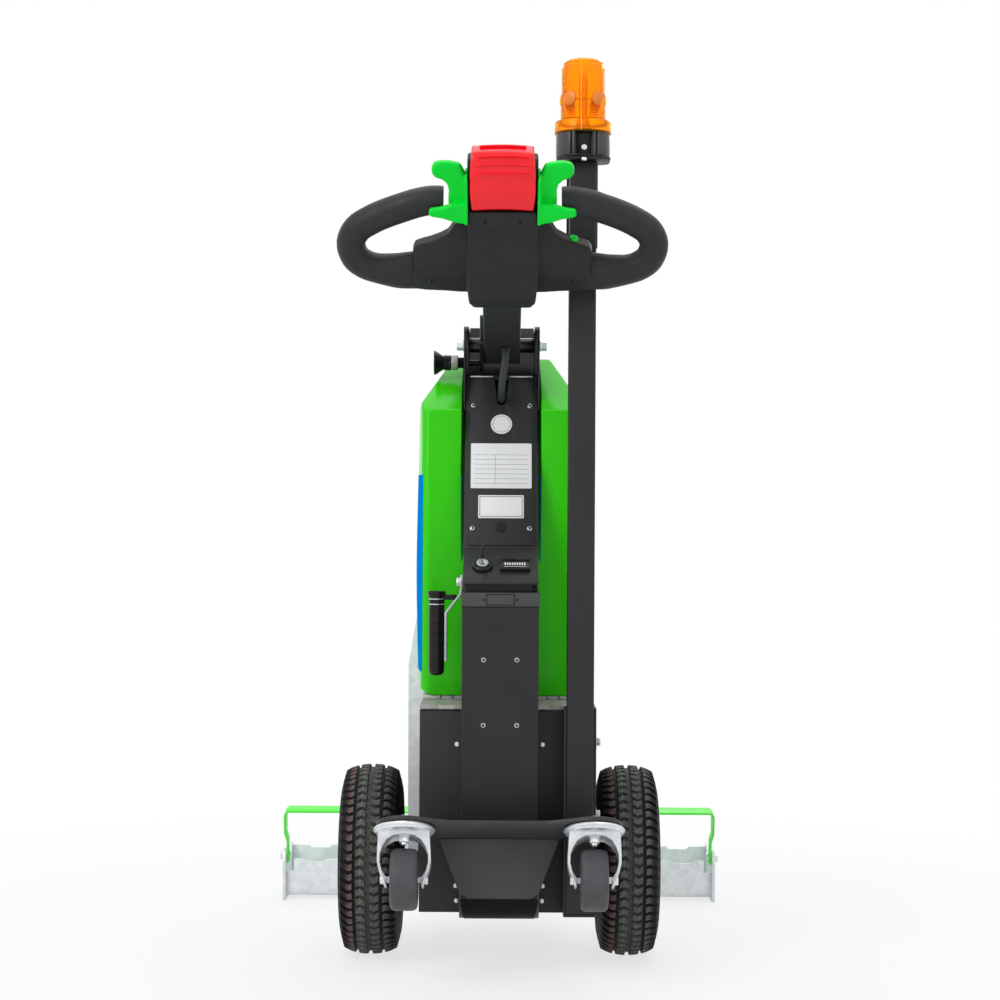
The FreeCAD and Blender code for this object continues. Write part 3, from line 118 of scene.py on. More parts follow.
def round_edges(bm, edges, width, segments=2):
    if edges and width > 0:
        bmesh.ops.bevel(bm, geom=edges, offset=width, offset_type="OFFSET", segments=segments, profile=0.5,
                        affect="EDGES", material=-1)


def all_parts(bm):
    return bm.verts[:] + bm.edges[:] + bm.faces[:]


def face_outward(bm):
    bmesh.ops.recalc_face_normals(bm, faces=bm.faces)


def close_up(bm):
    bmesh.ops.remove_doubles(bm, verts=bm.verts, dist=0.001)
    face_outward(bm)


def new_verts(made):
    return [item for item in made["geom"] if isinstance(item, bmesh.types.BMVert)]


def open_rim(made):
    """The edges just made that have one face."""
    return [item for item in made["geom"] if isinstance(item, bmesh.types.BMEdge) and item.is_boundary]


def rectangle(x, y):
    """Outline of half sizes x and y."""
    return [(-x, -y), (x, -y), (x, y), (-x, y)]


def prism(points, low, high, corners=0.0, edge=0.6, segments=2, corner_segments=5):
    """A plate with an outline in the xy plane, its corners and both rims rounded."""
    bm = bmesh.new()
    verts = [bm.verts.new((x, y, low)) for x, y in points]
    bm.faces.new(verts)
    if not isinstance(corners, (list, tuple)):
        corners = [corners] * len(points)
    reaches = []
    for index, radius in enumerate(corners):
        here = Vector(points[index])
        back = (Vector(points[index - 1]) - here).normalized()
        ahead = (Vector(points[(index + 1) % len(points)]) - here).normalized()
        reaches.append(radius / math.tan(back.angle(ahead) / 2) if radius > 0 else 0)
    for vert, reach in zip(verts, reaches):
        if reach > 0:
            bmesh.ops.bevel(bm, geom=[vert], offset=reach, offset_type="OFFSET", segments=corner_segments,
                            profile=0.5, affect="VERTICES", material=-1)
    made = bmesh.ops.extrude_face_region(bm, geom=list(bm.faces))
    bmesh.ops.translate(bm, vec=(0, 0, high - low), verts=new_verts(made))
    face_outward(bm)
    rims = [rim for rim in bm.edges if abs(rim.verts[0].co.z - rim.verts[1].co.z) < 1e-6]
    round_edges(bm, rims, edge, segments)
    return bm


def block(x0, x1, y0, y1, z0, z1, edge=1.0, segments=2):
    """A box between two corners with all its edges rounded."""
    bm = bmesh.new()
    bmesh.ops.create_cube(bm, size=1)
    bmesh.ops.scale(bm, vec=(x1 - x0, y1 - y0, z1 - z0), verts=bm.verts)
    bmesh.ops.translate(bm, vec=((x0 + x1) / 2, (y0 + y1) / 2, (z0 + z1) / 2), verts=bm.verts)
    round_edges(bm, list(bm.edges), edge, segments)
    return bm


def turned(profile, steps=48, closed=False, edge=0.0, segments=2, sharp=35):
    """A piece turned about the z axis from (radius, height) points."""
    bm = bmesh.new()
    verts = [bm.verts.new((radius, 0, height)) for radius, height in profile]
    edges = [bm.edges.new(pair) for pair in zip(verts, verts[1:])]
    if closed:
        edges.append(bm.edges.new((verts[-1], verts[0])))
    bmesh.ops.spin(bm, geom=verts + edges, cent=(0, 0, 0), axis=(0, 0, 1), angle=math.tau, steps=steps,
                   use_merge=True)
    close_up(bm)
    round_edges(bm, sharp_edges(bm, sharp), edge, segments)
    return bm


def hexagon(across, low, high, edge=0.5):
    """A bolt head or nut with a broken upper rim."""
    bm = bmesh.new()
    bmesh.ops.create_cone(bm, cap_ends=True, segments=6, radius1=across / math.sqrt(3),
                          radius2=across / math.sqrt(3), depth=high - low)
    bmesh.ops.translate(bm, vec=(0, 0, (low + high) / 2), verts=bm.verts)
    round_edges(bm, list(bm.edges), edge, 2)
    return bm


def eased(rows, steps):
    """The rows with further rows between them, on a smooth curve through all of them."""
    full = [rows[0]] + list(rows) + [rows[-1]]
    out = []
    for a, b, c, d in zip(full, full[1:], full[2:], full[3:]):
        for step in range(steps):
            t = step / steps
            out.append(tuple(0.5 * (2 * q + (r - p) * t + (2 * p - 5 * q + 4 * r - s) * t * t
                                    + (3 * q - p - 3 * r + s) * t ** 3)
                             for p, q, r, s in zip(a, b, c, d)))
    out.append(tuple(rows[-1]))
    return out


def swept(stations, upward, sides=28, square=2.0, rim=0.0):
    """A closed bar through stations of (x, y, z, half width, half height), its height along upward."""
    places = []
    for index, row in enumerate(stations):
        here = Vector(row[:3])
        before = Vector(stations[max(index - 1, 0)][:3])
        after = Vector(stations[min(index + 1, len(stations) - 1)][:3])
        along = (after - before).normalized()
        side = along.cross(upward).normalized()
        rise = side.cross(along).normalized()
        place = Matrix((side * row[3], rise * row[4], along * max(row[3], 1))).transposed().to_4x4()
        place.translation = here
        places.append(place)
    bm = bmesh.new()
    bmesh.ops.create_circle(bm, cap_ends=True, radius=1, segments=sides)
    for vert in bm.verts:
        vert.co = Vector([math.copysign(abs(value) ** (2 / square), value) for value in vert.co])
    bmesh.ops.transform(bm, matrix=places[0], verts=bm.verts)
    ring = list(bm.edges)
    first = list(ring)
    for before, after in zip(places, places[1:]):
        made = bmesh.ops.extrude_edge_only(bm, edges=ring)
        bmesh.ops.transform(bm, matrix=after @ before.inverted(), verts=new_verts(made))
        ring = open_rim(made)
    bmesh.ops.contextual_create(bm, geom=ring)
    face_outward(bm)
    round_edges(bm, first + ring, rim, 3)
    return bm


def lofted(rings):
    """A closed skin through rings that have the same number of points."""
    bm = bmesh.new()
    verts = [bm.verts.new(point) for point in rings[0]]
    bm.faces.new(verts)
    ring = list(bm.edges)
    for points in rings[1:]:
        made = bmesh.ops.extrude_edge_only(bm, edges=ring)
        fresh = set(new_verts(made))
        follow = []
        for vert in verts:
            near = [edge.other_vert(vert) for edge in vert.link_edges]
            follow.append([other for other in near if other in fresh][0])
        for vert, point in zip(follow, points):
            vert.co = point
        ring = open_rim(made)
        verts = follow
    bmesh.ops.contextual_create(bm, geom=ring)
    face_outward(bm)
    return bm


def placed(bm, matrix):
    """The shape moved by a matrix, its faces kept outward when the matrix mirrors."""
    bmesh.ops.transform(bm, matrix=matrix, verts=bm.verts)
    if matrix.determinant() < 0:
        bmesh.ops.reverse_faces(bm, faces=bm.faces)
    return bm


def mesh_from(bm, name):
    """The shape as a mesh, its working copy given up."""
    mesh = bpy.data.meshes.new(name)
    bm.to_mesh(mesh)
    bm.free()
    return mesh


def into_scene(name, data):
    made = bpy.data.objects.new(name, data)
    bpy.context.scene.collection.objects.link(made)
    return made


def gathered(*shapes):
    """Several shapes as one."""
    whole = bmesh.new()
    for bm in shapes:
        mesh = mesh_from(bm, "gathered")
        whole.from_mesh(mesh)
        bpy.data.meshes.remove(mesh)
    return whole


def repeated(bm, places):
    """The shape once at each place."""
    return gathered(*[placed(bm.copy(), place) for place in places])


def both_sides(bm):
    """The shape and its mirror image on the other side of the tug."""
    return gathered(bm.copy(), placed(bm, MIRROR))


def piece(name, bm, finish, stands_for=(), body="chassis", slot=None, smooth=32):
    """A finished piece in the frame, riding on its body; its finish's usual slot or the one given is looked
    up but not kept.
    """
    bmesh.ops.transform(bm, matrix=TO_METRES, verts=bm.verts)
    slot = slot or usual_slot[finish.name]
    mesh = mesh_from(bm, name)
    mesh.polygons.foreach_set("use_smooth", [True] * len(mesh.polygons))
    mesh.set_sharp_from_angle(angle=math.radians(smooth))
    mesh.materials.append(finish)
    made = into_scene(name, mesh)
    if body:
        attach(made, body)
    if stands_for:
        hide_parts(*stands_for)
    return made


def one_skin(made, voxel):
    """The piece's parts melted into one soft skin, for parts that are moulded together."""
    skin = made.modifiers.new("one_skin", "REMESH")
    skin.mode = "VOXEL"
    skin.voxel_size = voxel
    skin.use_smooth_shade = True
    relax = made.modifiers.new("relaxed", "SMOOTH")
    relax.factor = 0.5
    relax.iterations = 5


def skin_of(node):
    """A CAD node's shape as one joined skin, in millimetres."""
    bm = bmesh.new()
    bm.from_mesh(frame["nodes"][node].data)
    bmesh.ops.remove_doubles(bm, verts=bm.verts, dist=1e-6)
    bmesh.ops.transform(bm, matrix=TO_METRES.inverted(), verts=bm.verts)
    bmesh.ops.dissolve_limit(bm, angle_limit=math.radians(0.8), verts=bm.verts, edges=bm.edges)
    return bm


def eased_node(node, finish, width, segments=2, sharp=38, body="chassis", slot=None):
    """A CAD node with its sharp edges broken, standing for the node itself."""
    bm = skin_of(node)
    round_edges(bm, sharp_edges(bm, sharp), width, segments)
    return piece(node + "_finished", bm, finish, (node,), body, slot)


# ---- finishes ----

def paint(red, green, blue):
    """A colour on the 0 to 255 scale, as light."""
    def light(value):
        value /= 255
        return value / 12.92 if value <= 0.04045 else ((value + 0.055) / 1.055) ** 2.4
    return light(red), light(green), light(blue), 1.0


def darker(colour, share):
    return tuple(value * share for value in colour[:3]) + (1.0,)


def set_inputs(node, **values):
    for name, value in values.items():
        node.inputs[name.replace("_", " ")].default_value = value
    return node


def new_node(nodes, kind, **values):
    return set_inputs(nodes.new(kind), **values)


usual_slot = {}


class Finish:
    """A node material under construction, and the slot of the pieces that have it."""

    def __init__(self, name, slot):
        self.material = bpy.data.materials.new(name)
        usual_slot[self.material.name] = slot
        self.material.use_nodes = True
        self.nodes = self.material.node_tree.nodes
        self.links = self.material.node_tree.links
        self.shader = self.nodes["Principled BSDF"]
        self.place = self.nodes.new("ShaderNodeTexCoord").outputs["Object"]

    def join(self, source, target):
        self.links.new(source, target)

    def noise(self, scale, detail=3.0, rough=0.5):
        node = new_node(self.nodes, "ShaderNodeTexNoise", Scale=scale, Detail=detail, Roughness=rough)
        self.join(self.place, node.inputs["Vector"])
        return node.outputs["Fac"]

    def cells(self, scale):
        node = new_node(self.nodes, "ShaderNodeTexVoronoi", Scale=scale)
        self.join(self.place, node.inputs["Vector"])
        split = self.nodes.new("ShaderNodeSeparateColor")
        self.join(node.outputs["Color"], split.inputs["Color"])
        return split.outputs["Red"]

    def spread(self, source, low, high, start=0.3, end=0.7):
        node = new_node(self.nodes, "ShaderNodeMapRange", From_Min=start, From_Max=end, To_Min=low,
                        To_Max=high)
        self.join(source, node.inputs["Value"])
        return node.outputs["Result"]

    def maths(self, kind, first, second=None):
        node = self.nodes.new("ShaderNodeMath")
        node.operation = kind
        for socket, value in zip(node.inputs, (first, second)):
            if isinstance(value, (int, float)):
                socket.default_value = value
            elif value is not None:
                self.join(value, socket)
        return node.outputs["Value"]

    def mix(self, share, first, second):
        node = self.nodes.new("ShaderNodeMix")
        node.data_type = "RGBA"
        sockets = [socket for socket in node.inputs if socket.enabled]
        self.join(share, sockets[0])
        for socket, value in zip(sockets[1:], (first, second)):
            if isinstance(value, tuple):
                socket.default_value = value
            else:
                self.join(value, socket)
        return [socket for socket in node.outputs if socket.enabled][0]

    def bump(self, height, depth):
        """Height as a bump of that depth in millimetres."""
        node = new_node(self.nodes, "ShaderNodeBump", Distance=depth / 1000)
        self.join(height, node.inputs["Height"])
        self.join(node.outputs["Normal"], self.shader.inputs["Normal"])

    def coloured(self, colour):
        self.join(colour, self.shader.inputs["Base Color"])

    def roughened(self, source):
        self.join(source, self.shader.inputs["Roughness"])


def plain_finish(name, slot, colour, roughness, shade, patches, uneven, grain, depth, gloss=0.24, **shader):
    """Two close shades in soft patches, uneven gloss and a fine grain."""
    colour = paint(*colour)
    made = Finish(name, slot)
    patch = made.noise(patches)
    made.coloured(made.mix(made.spread(patch, 0, 1), darker(colour, shade), colour))
    made.roughened(made.spread(patch, roughness + uneven, roughness - uneven))
    made.bump(made.noise(grain, 2.0), depth)
    set_inputs(made.shader, Specular_IOR_Level=gloss, **shader)
    return made.material


def zinc_finish(name, slot, light, dark, roughness, spangle, shine=0.95):
    """Galvanised or zinc-plated steel: crystals of slightly different shade and gloss."""
    made = Finish(name, slot)
    crystal = made.cells(spangle)
    cloud = made.noise(18.0, 4.0)
    tone = made.maths("ADD", made.maths("MULTIPLY", crystal, 0.6), made.maths("MULTIPLY", cloud, 0.4))
    made.coloured(made.mix(made.spread(tone, 0, 1, 0.15, 0.85), paint(*dark), paint(*light)))
    made.roughened(made.spread(tone, roughness + 0.06, roughness - 0.04, 0.2, 0.8))
    made.bump(made.noise(600.0, 2.0), 0.01)
    set_inputs(made.shader, Metallic=shine)
    return made.material


def tyre_finish(name, slot, centre, red_row, pale_row):
    """Black rubber, dusty on the blocks, with a worn red line on one row and a pale one on another."""
    made = Finish(name, slot)
    split = made.nodes.new("ShaderNodeSeparateXYZ")
    made.join(made.place, split.inputs["Vector"])
    along = made.maths("SUBTRACT", split.outputs["Y"], centre.y / 1000)
    above = made.maths("SUBTRACT", split.outputs["Z"], centre.z / 1000)
    radius = made.maths("SQRT", made.maths("ADD", made.maths("POWER", along, 2.0),
                                           made.maths("POWER", above, 2.0)))
    raised = made.spread(radius, 0, 1, 0.1235, 0.1262)
    dust = made.noise(260.0, 5.0, 0.7)
    speck = made.noise(420.0, 3.0, 0.7)
    rubber = made.mix(made.spread(dust, 0, 1), paint(66, 67, 66), paint(104, 105, 101))
    bottom = made.mix(raised, paint(22, 22, 22), rubber)
    previous = bottom
    for row, half, tint, share in ((red_row, 0.0024, paint(134, 46, 52), 0.9),
                                   (pale_row, 0.0016, paint(128, 134, 108), 0.6)):
        off = made.maths("ABSOLUTE", made.maths("SUBTRACT", split.outputs["X"], row / 1000))
        band = made.spread(off, 1, 0, half * 0.6, half)
        worn = made.maths("MULTIPLY", made.spread(speck, 0.05, share, 0.42, 0.58),
                          made.maths("MULTIPLY", band, raised))
        previous = made.mix(worn, previous, tint)
    made.coloured(previous)
    made.roughened(made.spread(dust, 0.86, 0.62))
    made.bump(speck, 0.12)
    set_inputs(made.shader, Specular_IOR_Level=0.24)
    return made.material


powder_coat = plain_finish("black_powder_coat", "frame_black", (47, 47, 49), 0.45, 0.88, 16, 0.05, 1100, 0.05)
cover_coat = plain_finish("cover_coat", "frame_black", (78, 78, 80), 0.45, 0.86, 22, 0.05, 1100, 0.05)
# A much darker copy of the cover's coat for its rolled foot: painted shade where the roll turns under.
cover_roll_painted_shade = plain_finish("cover_roll_painted_shade", "frame_black", (22, 22, 23), 0.5, 0.88, 22, 0.05, 1100, 0.05,
                          gloss=0.08)
worn_coat = plain_finish("worn_powder_coat", "frame_black", (62, 62, 64), 0.45, 0.86, 22, 0.05, 1100, 0.05)
hood_green = plain_finish("moulded_green", "hood_green", (58, 214, 14), 0.22, 0.94, 9, 0.03, 350, 0.01,
                          gloss=0.16)
bail_green = plain_finish("green_paint", "bail_green", (92, 248, 68), 0.38, 0.94, 40, 0.04, 500, 0.03)
wing_green = plain_finish("emerald_plastic", "wing_green", (0, 226, 58), 0.26, 0.94, 60, 0.05, 900, 0.02,
                          gloss=0.14)
button_red = plain_finish("red_plastic", "red_plastic", (255, 14, 34), 0.22, 0.94, 50, 0.04, 900, 0.02,
                          gloss=0.45)
moulded_black = plain_finish("moulded_black", "black_plastic", (37, 38, 39), 0.48, 0.88, 45, 0.05, 1500, 0.06)
grip_rubber = plain_finish("grip_rubber", "grip_rubber", (46, 46, 49), 0.5, 0.86, 60, 0.06, 1900, 0.09)
gloss_black = plain_finish("gloss_black_plastic", "black_plastic", (26, 26, 28), 0.24, 0.85, 60, 0.04, 900,
                           0.01)
# Black paint for the yoke, its pivot sleeve and sector, made darker than the gloss black plastic as painted
# shade in the yoke's recesses.
yoke_black_and_painted_shade = plain_finish("yoke_black_and_painted_shade", "frame_black", (17, 17, 18), 0.24, 0.85, 30, 0.05, 1100, 0.03,
                          gloss=0.4)
nickel = zinc_finish("nickel", "zinc", (188, 182, 174), (150, 144, 136), 0.4, 420, 0.3)
socket_grey = plain_finish("socket_grey_plastic", "black_plastic", (78, 80, 83), 0.3, 0.85, 70, 0.04, 900,
                           0.02)
castor_rubber = plain_finish("grey_castor_rubber", "castor_grey", (84, 85, 88), 0.5, 0.84, 70, 0.08, 700,
                             0.08)
rim_grey = plain_finish("grey_rim_paint", "rim_grey", (150, 154, 158), 0.4, 0.88, 40, 0.05, 700, 0.03)
cable_grey = plain_finish("cable_sleeve", "cable", (66, 71, 74), 0.5, 0.85, 120, 0.05, 1500, 0.04)
white_strip = plain_finish("white_seal", "strip_white", (222, 224, 224), 0.5, 0.92, 60, 0.05, 900, 0.03)
label_white = plain_finish("label_white", "strip_white", (238, 240, 240), 0.4, 0.97, 40, 0.04, 600, 0.01)
label_grey = plain_finish("label_rules", "strip_white", (150, 154, 158), 0.4, 0.9, 60, 0.04, 600, 0.01)
stripe_blue = plain_finish("blue_film", "hood_green", (0, 140, 232), 0.8, 0.95, 20, 0.03, 500, 0.01, gloss=0)
battery_black = plain_finish("battery_case", "black_plastic", (38, 38, 40), 0.5, 0.85, 40, 0.05, 900, 0.03)
galvanised = zinc_finish("galvanised_sheet", "galvanised", (242, 245, 247), (224, 229, 233), 0.42, 120, 0.25)
shelf_grey = zinc_finish("weathered_sheet", "galvanised", (176, 177, 172), (142, 142, 136), 0.5, 90, 0.1)
bright_zinc = zinc_finish("bright_zinc", "zinc", (236, 239, 242), (216, 220, 225), 0.28, 110, 0.55)
dull_zinc = zinc_finish("dull_zinc", "zinc", (196, 200, 203), (160, 165, 169), 0.34, 400, 0.95)
amber = plain_finish("amber_lens", "amber_lens", (255, 176, 0), 0.14, 0.94, 30, 0.03, 300, 0.02,
                     Transmission_Weight=0.82, IOR=1.18)
pale_amber = plain_finish("pale_amber", "amber_lens", (255, 146, 58), 0.2, 0.92, 90, 0.03, 300, 0.02)
# A paler amber for the ridge down the lens: painted highlight of a tall strip light.
seam_painted_highlight = plain_finish("seam_painted_highlight", "amber_lens", (255, 186, 52), 0.2, 0.92, 90, 0.03, 300, 0.02)
lamp_core = plain_finish("lamp_core", "amber_lens", (255, 226, 150), 0.2, 0.94, 60, 0.05, 300, 0.02,
                         Transmission_Weight=0.8, IOR=1.12)


# ---- fasteners and frames ----

def four_bars(x, y, bar_x, bar_y, low, high, edge):
    """Four bars round a rectangle of half sizes x and y."""
    return [block(-x, x, y - bar_y, y, low, high, edge), block(-x, x, -y, bar_y - y, low, high, edge),
            block(-x, bar_x - x, -y, y, low, high, edge), block(x - bar_x, x, -y, y, low, high, edge)]


def dome_screw(radius, height):
    """A round-headed screw with a socket."""
    return turned([(0, height * 0.35), (radius * 0.36, height * 0.35), (radius * 0.42, height),
                   (radius * 0.72, height * 0.86), (radius * 0.95, height * 0.4), (radius, 0), (radius, -1.5),
                   (0, -1.5)], 20)


def hex_bolt(across, height):
    """A hexagon head on a washer."""
    washer = turned([(0, 0), (across * 0.92, 0), (across * 0.92, 1.2), (0, 1.2)], 24, edge=0.3)
    return gathered(washer, hexagon(across, 1.2, height + 1.2))


# ---- chassis, covers and hood ----

eased_node("chassis_frame", powder_coat, 1.2)
eased_node("chassis_top_plate", shelf_grey, 0.8)
eased_node("hood_base_strip", white_strip, 0.8)
eased_node("hood", hood_green, 1.5, 3, 50)
eased_node("front_plate", galvanised, 0.8)
eased_node("lower_rear_cover", cover_coat, 1.4, 3)

cover_foot = corners_of("lower_rear_cover")[0]
ON_COVER_FOOT = shift(0, cover_foot.y, cover_foot.z)
ROLL = 30                           # radius of the cover's rolled foot
angles = [math.radians(10 * step) for step in range(9)]
section = [(ROLL - 30.7 * math.cos(angle), ROLL - 30.7 * math.sin(angle)) for angle in angles]
section += [(ROLL - 28.6 * math.cos(angle), ROLL - 28.6 * math.sin(angle)) for angle in angles[::-1]]
roll = prism(section, -50.4, 50.4, 0, 0.5)
for vert in roll.verts:
    vert.co.z *= 1 - 0.09 * max(0, 1 - vert.co.y / 22)
# The rolled foot in the darker finish: painted shade under the roll.
piece("lower_cover_roll", placed(roll, ON_COVER_FOOT @ SIDEWAYS), cover_roll_painted_shade)
# Small black triangles at both ends of the roll: painted shadow in the notches there.
notch_shadow = prism([(41, -1.6), (49.6, -2.4), (49.6, 3.4)], -0.4, 0.5, 0.4, 0.2)
piece("lower_cover_notch_shadows", placed(both_sides(notch_shadow), ON_COVER_FOOT @ shift(0, 0, 32) @ REARWARD),
      gloss_black, slot="frame_black")

for node, finish, width, segments in (
        ("castor_plate", worn_coat, 1.2, 2),
        ("lower_column", powder_coat, 1.2, 3),
        ("console", powder_coat, 0.9, 3),
        ("upper_column", powder_coat, 1.5, 3),
        ("column_cover_plate", powder_coat, 0.5, 2),
        ("tiller_yoke", yoke_black_and_painted_shade, 0.9, 2),
        ("mast_pole", powder_coat, 2.2, 3),
        ("mast_channel", powder_coat, 0.9, 2),
        ("beacon_bracket", powder_coat, 0.7, 2),
        ("beam_arms", galvanised, 1.4, 2),
        ("coupling_channel", galvanised, 0.6, 2),
        ("beam_end_plates", galvanised, 0.8, 2)):
    eased_node(node, finish, width, segments)
eased_node("lamp_strap", dull_zinc, 0.5, slot="frame_black")
eased_node("bail", bail_green, 0.5, body="bail")
eased_node("tiller_tube", powder_coat, 2.5, 3, body="tiller")
eased_node("pivot_sleeve", yoke_black_and_painted_shade, 0.8, body="tiller")
for node, finish in (("battery_block", battery_black), ("drive_unit", powder_coat)):
    frame["nodes"][node].data.materials.clear()
    frame["nodes"][node].data.materials.append(finish)


def side_stripe(side):
    """A film on the hood's side, cut from the hood's own skin."""
    bm = skin_of("hood")
    for point, normal in (((0, 0, 392), (0, 0, -1)), ((0, 0, 660), (0, 0, 1)),
                          ((0, -104, 0), (0, -1, -0.12)), ((0, 66, 0), (0, 1, 0.12))):
        bmesh.ops.bisect_plane(bm, geom=all_parts(bm), plane_co=point, plane_no=normal, clear_outer=True)
    bm.normal_update()
    drop = [face for face in bm.faces if face.normal.x * side < 0.85]
    bmesh.ops.delete(bm, geom=drop, context="FACES")
    bmesh.ops.translate(bm, vec=(side * 0.15, 0, 0), verts=bm.verts)
    bmesh.ops.solidify(bm, geom=bm.faces[:], thickness=-0.35)
    face_outward(bm)
    return bm


piece("hood_side_films", gathered(side_stripe(1), side_stripe(-1)), stripe_blue)

# ---- column details ----

screw_spots = [on_column(x, z) for x, z in ((38.5, 753.5), (-38.5, 753.5), (38, 587), (-38, 587))]
rivet_spots = [shift(x, -262, z) @ REARWARD
               for x, z in ((21.6, 418.3), (-21.6, 418.3), (21.7, 333.4), (-21.7, 333.4))]
piece("column_screws", repeated(dome_screw(4.0, 2.4), screw_spots + rivet_spots), dull_zinc)
# Black discs inside the screws' sockets: painted shade in the recesses.
socket = turned([(0, 0.6), (1.5, 0.6), (1.5, 1.3), (0, 1.3)], 12)
piece("column_screw_socket_shade", repeated(socket, screw_spots + rivet_spots), gloss_black, slot="zinc")

flange_face = shift(0, -263, 496.5) @ REARWARD
slot_frame = gathered(
    *four_bars(18.5, 7.4, 1, 1, -0.5, 0.5, 0.2),
    *[placed(turned([(0, -0.5), (1.6, -0.5), (1.6, 0.4), (0, 0.4)], 16), shift(x, 0, 0))
      for x in (21.8, -21.8)])
piece("flange_slot_lines", placed(slot_frame, flange_face @ shift(0, 0, 0.4)), gloss_black,
      slot="frame_black")
# A plate in the lighter cover coat on the column's flange band: painted highlight, the band drawn lighter
# than the column's own coat as lit from above.
band = block(-50.6, 50.6, -8.8, 8.8, -0.6, 0.4, 0.3)
piece("flange_band_painted_highlight", placed(band, flange_face), cover_coat)
# Dull zinc strips along the cover plate's top edge: painted highlight on the plate's top bend.
cover_high = corners_of("column_cover_plate")[1]
edges = [placed(block(start, end, -0.8, 0.8, -1.2, 0.8, 0.5, 2), shift(0, cover_high.y - 4.6, cover_high.z))
         for start, end in ((-43, -11.5), (11.5, 43))]
piece("cover_plate_edge_highlight", gathered(*edges), dull_zinc)
strip_low, strip_high = corners_of("hood_base_strip")
seals = [block(start, end, strip_low.y - 1.5, strip_low.y + 2, strip_high.z - 0.4, strip_high.z + 1.2, 0.3)
         for start, end in ((-92, -52), (52, 92))]
shelf_low = corners_of("chassis_top_plate")[0]
seals += [block(start, end, shelf_low.y - 0.6, shelf_low.y + 1, shelf_low.z - 1.6, shelf_low.z + 1, 0.3)
          for start, end in ((-104, -52), (52, 104))]
piece("hood_foot_seals", gathered(*seals), gloss_black, slot="frame_black")

plug = turned([(0, 0.4), (5.2, 0.4), (5.4, 0.9), (7.2, 0.9), (7.6, 0), (7.6, -0.6), (0, -0.6)], 32)
piece("column_plug", placed(plug, on_column(0, 589)), gloss_black, slot="frame_black")

ON_ROUND_LABEL, ON_PLATE_LABEL, ON_FRAMED_LABEL = (on_column(0, z) for z in (728.4, 671.4, 616.3))
round_label = turned([(0, 0.3), (14.2, 0.3), (14.5, 0), (14.5, -0.4), (0, -0.4)], 48)
plate_label = prism(rectangle(41, 33), -0.4, 0.3, 1.5, 0.15)
framed_label = prism(rectangle(30.5, 16.6), -0.4, 0.35, 1.2, 0.15)
labels = gathered(placed(round_label, ON_ROUND_LABEL), placed(plate_label, ON_PLATE_LABEL),
                  placed(framed_label, ON_FRAMED_LABEL))
piece("blank_labels", labels, label_white)
frame_lines = gathered(*four_bars(28.7, 14.7, 0.7, 0.7, 0.2, 0.45, 0))
piece("label_frame", placed(frame_lines, ON_FRAMED_LABEL), gloss_black, slot="frame_black")
rules = [placed(block(-37, 37, -0.25, 0.25, 0.2, 0.42, 0), ON_PLATE_LABEL @ shift(0, y, 0))
         for y in (-26, -19, -12, -5, 2, 9, 16)]
rules.append(placed(block(-0.25, 0.25, -26, 16, 0.2, 0.42, 0), on_column(-8, 671.4)))
ring = turned([(11.6, 0.25), (12.2, 0.25), (12.2, 0.45), (11.6, 0.45)], 48, closed=True)
rules.append(placed(ring, ON_ROUND_LABEL))
piece("label_rules", gathered(*rules), label_grey)

# ---- console: key switch and gauge ----

ON_KEY = ON_CONSOLE @ shift(-24, -4, 0)
ON_GAUGE = ON_CONSOLE @ shift(19, -4, 0)
bezel = turned([(8.4, 3.2), (9.2, 5.0), (12.2, 5.0), (13.6, 3.6), (14, 0.6), (14, -1), (8.4, -1)], 40,
               closed=True, edge=0.3)
piece("key_switch_bezel", placed(bezel, ON_KEY), gloss_black, ("key_switch",))
barrel = turned([(0, 6.4), (5.6, 6.4), (6.2, 7.6), (7.6, 7.6), (8.2, 6.8), (8.2, -1), (0, -1)], 32, edge=0.25)
blade = block(-1.2, 1.2, -4.2, 4.2, 5, 18, 0.4)
bow = placed(turned([(3.2, -1.6), (9.4, -1.6), (9.4, 1.6), (3.2, 1.6)], 28, closed=True, edge=0.6),
             shift(0, 0, 24.5) @ OUTWARD)
piece("key_switch_barrel", placed(gathered(barrel, blade), ON_KEY), dull_zinc)
piece("ignition_key_bow", placed(bow, ON_KEY), gloss_black)

gauge = prism(rectangle(20, 11.5), -1, 4.2, 3, 1.2, 3)
piece("gauge_case", placed(gathered(gauge, *four_bars(20, 11.5, 2, 2.1, 4, 5.4, 0.5)), ON_GAUGE), gloss_black,
      ("battery_gauge",))
bars = [block(-14 + 3.2 * step, -12 + 3.2 * step, -1.5, 3.5, 4.1, 4.5, 0.1) for step in range(9)]
bars.append(block(-14, 14, -5.4, -4.6, 4.1, 4.5, 0.1))
piece("gauge_marks", placed(gathered(*bars), ON_GAUGE), label_white)

# ---- hand lamp and its strap bolt ----

lamp_axis = foot_of("hand_lamp")
profile = [(0, 0), (4.5, 0), (7.6, 1), (9.5, 3.2), (10.3, 6.4), (10.5, 10)]
for seam_height in (43.6, 54.6, 68):
    profile += [(10.5, seam_height), (10.1, seam_height + 0.4), (10.1, seam_height + 1),
                (10.5, seam_height + 1.4)]
profile += [(10.5, 93.4), (10, 94), (10, 95.4), (10.5, 96), (10.5, 100.4), (10.1, 101), (10.1, 102.4),
            (10.9, 103), (11.8, 107), (12, 111), (11.4, 112), (10, 112), (9.4, 110), (0, 109.4)]
clip = placed(block(-6, 22, -5, 5, -3.5, 3.5, 1.6, 3), shift(5, 0, 104))
piece("hand_lamp_body", placed(gathered(turned(profile, 40, sharp=50), clip), lamp_axis), gloss_black,
      ("hand_lamp",))
strap_low, strap_high = corners_of("lamp_strap")
strap_y = (strap_low.y + strap_high.y) / 2
strap_bolt = placed(hex_bolt(11, 5), shift(strap_high.x - 3, strap_y, strap_high.z - 9) @ turn("Y", -90))
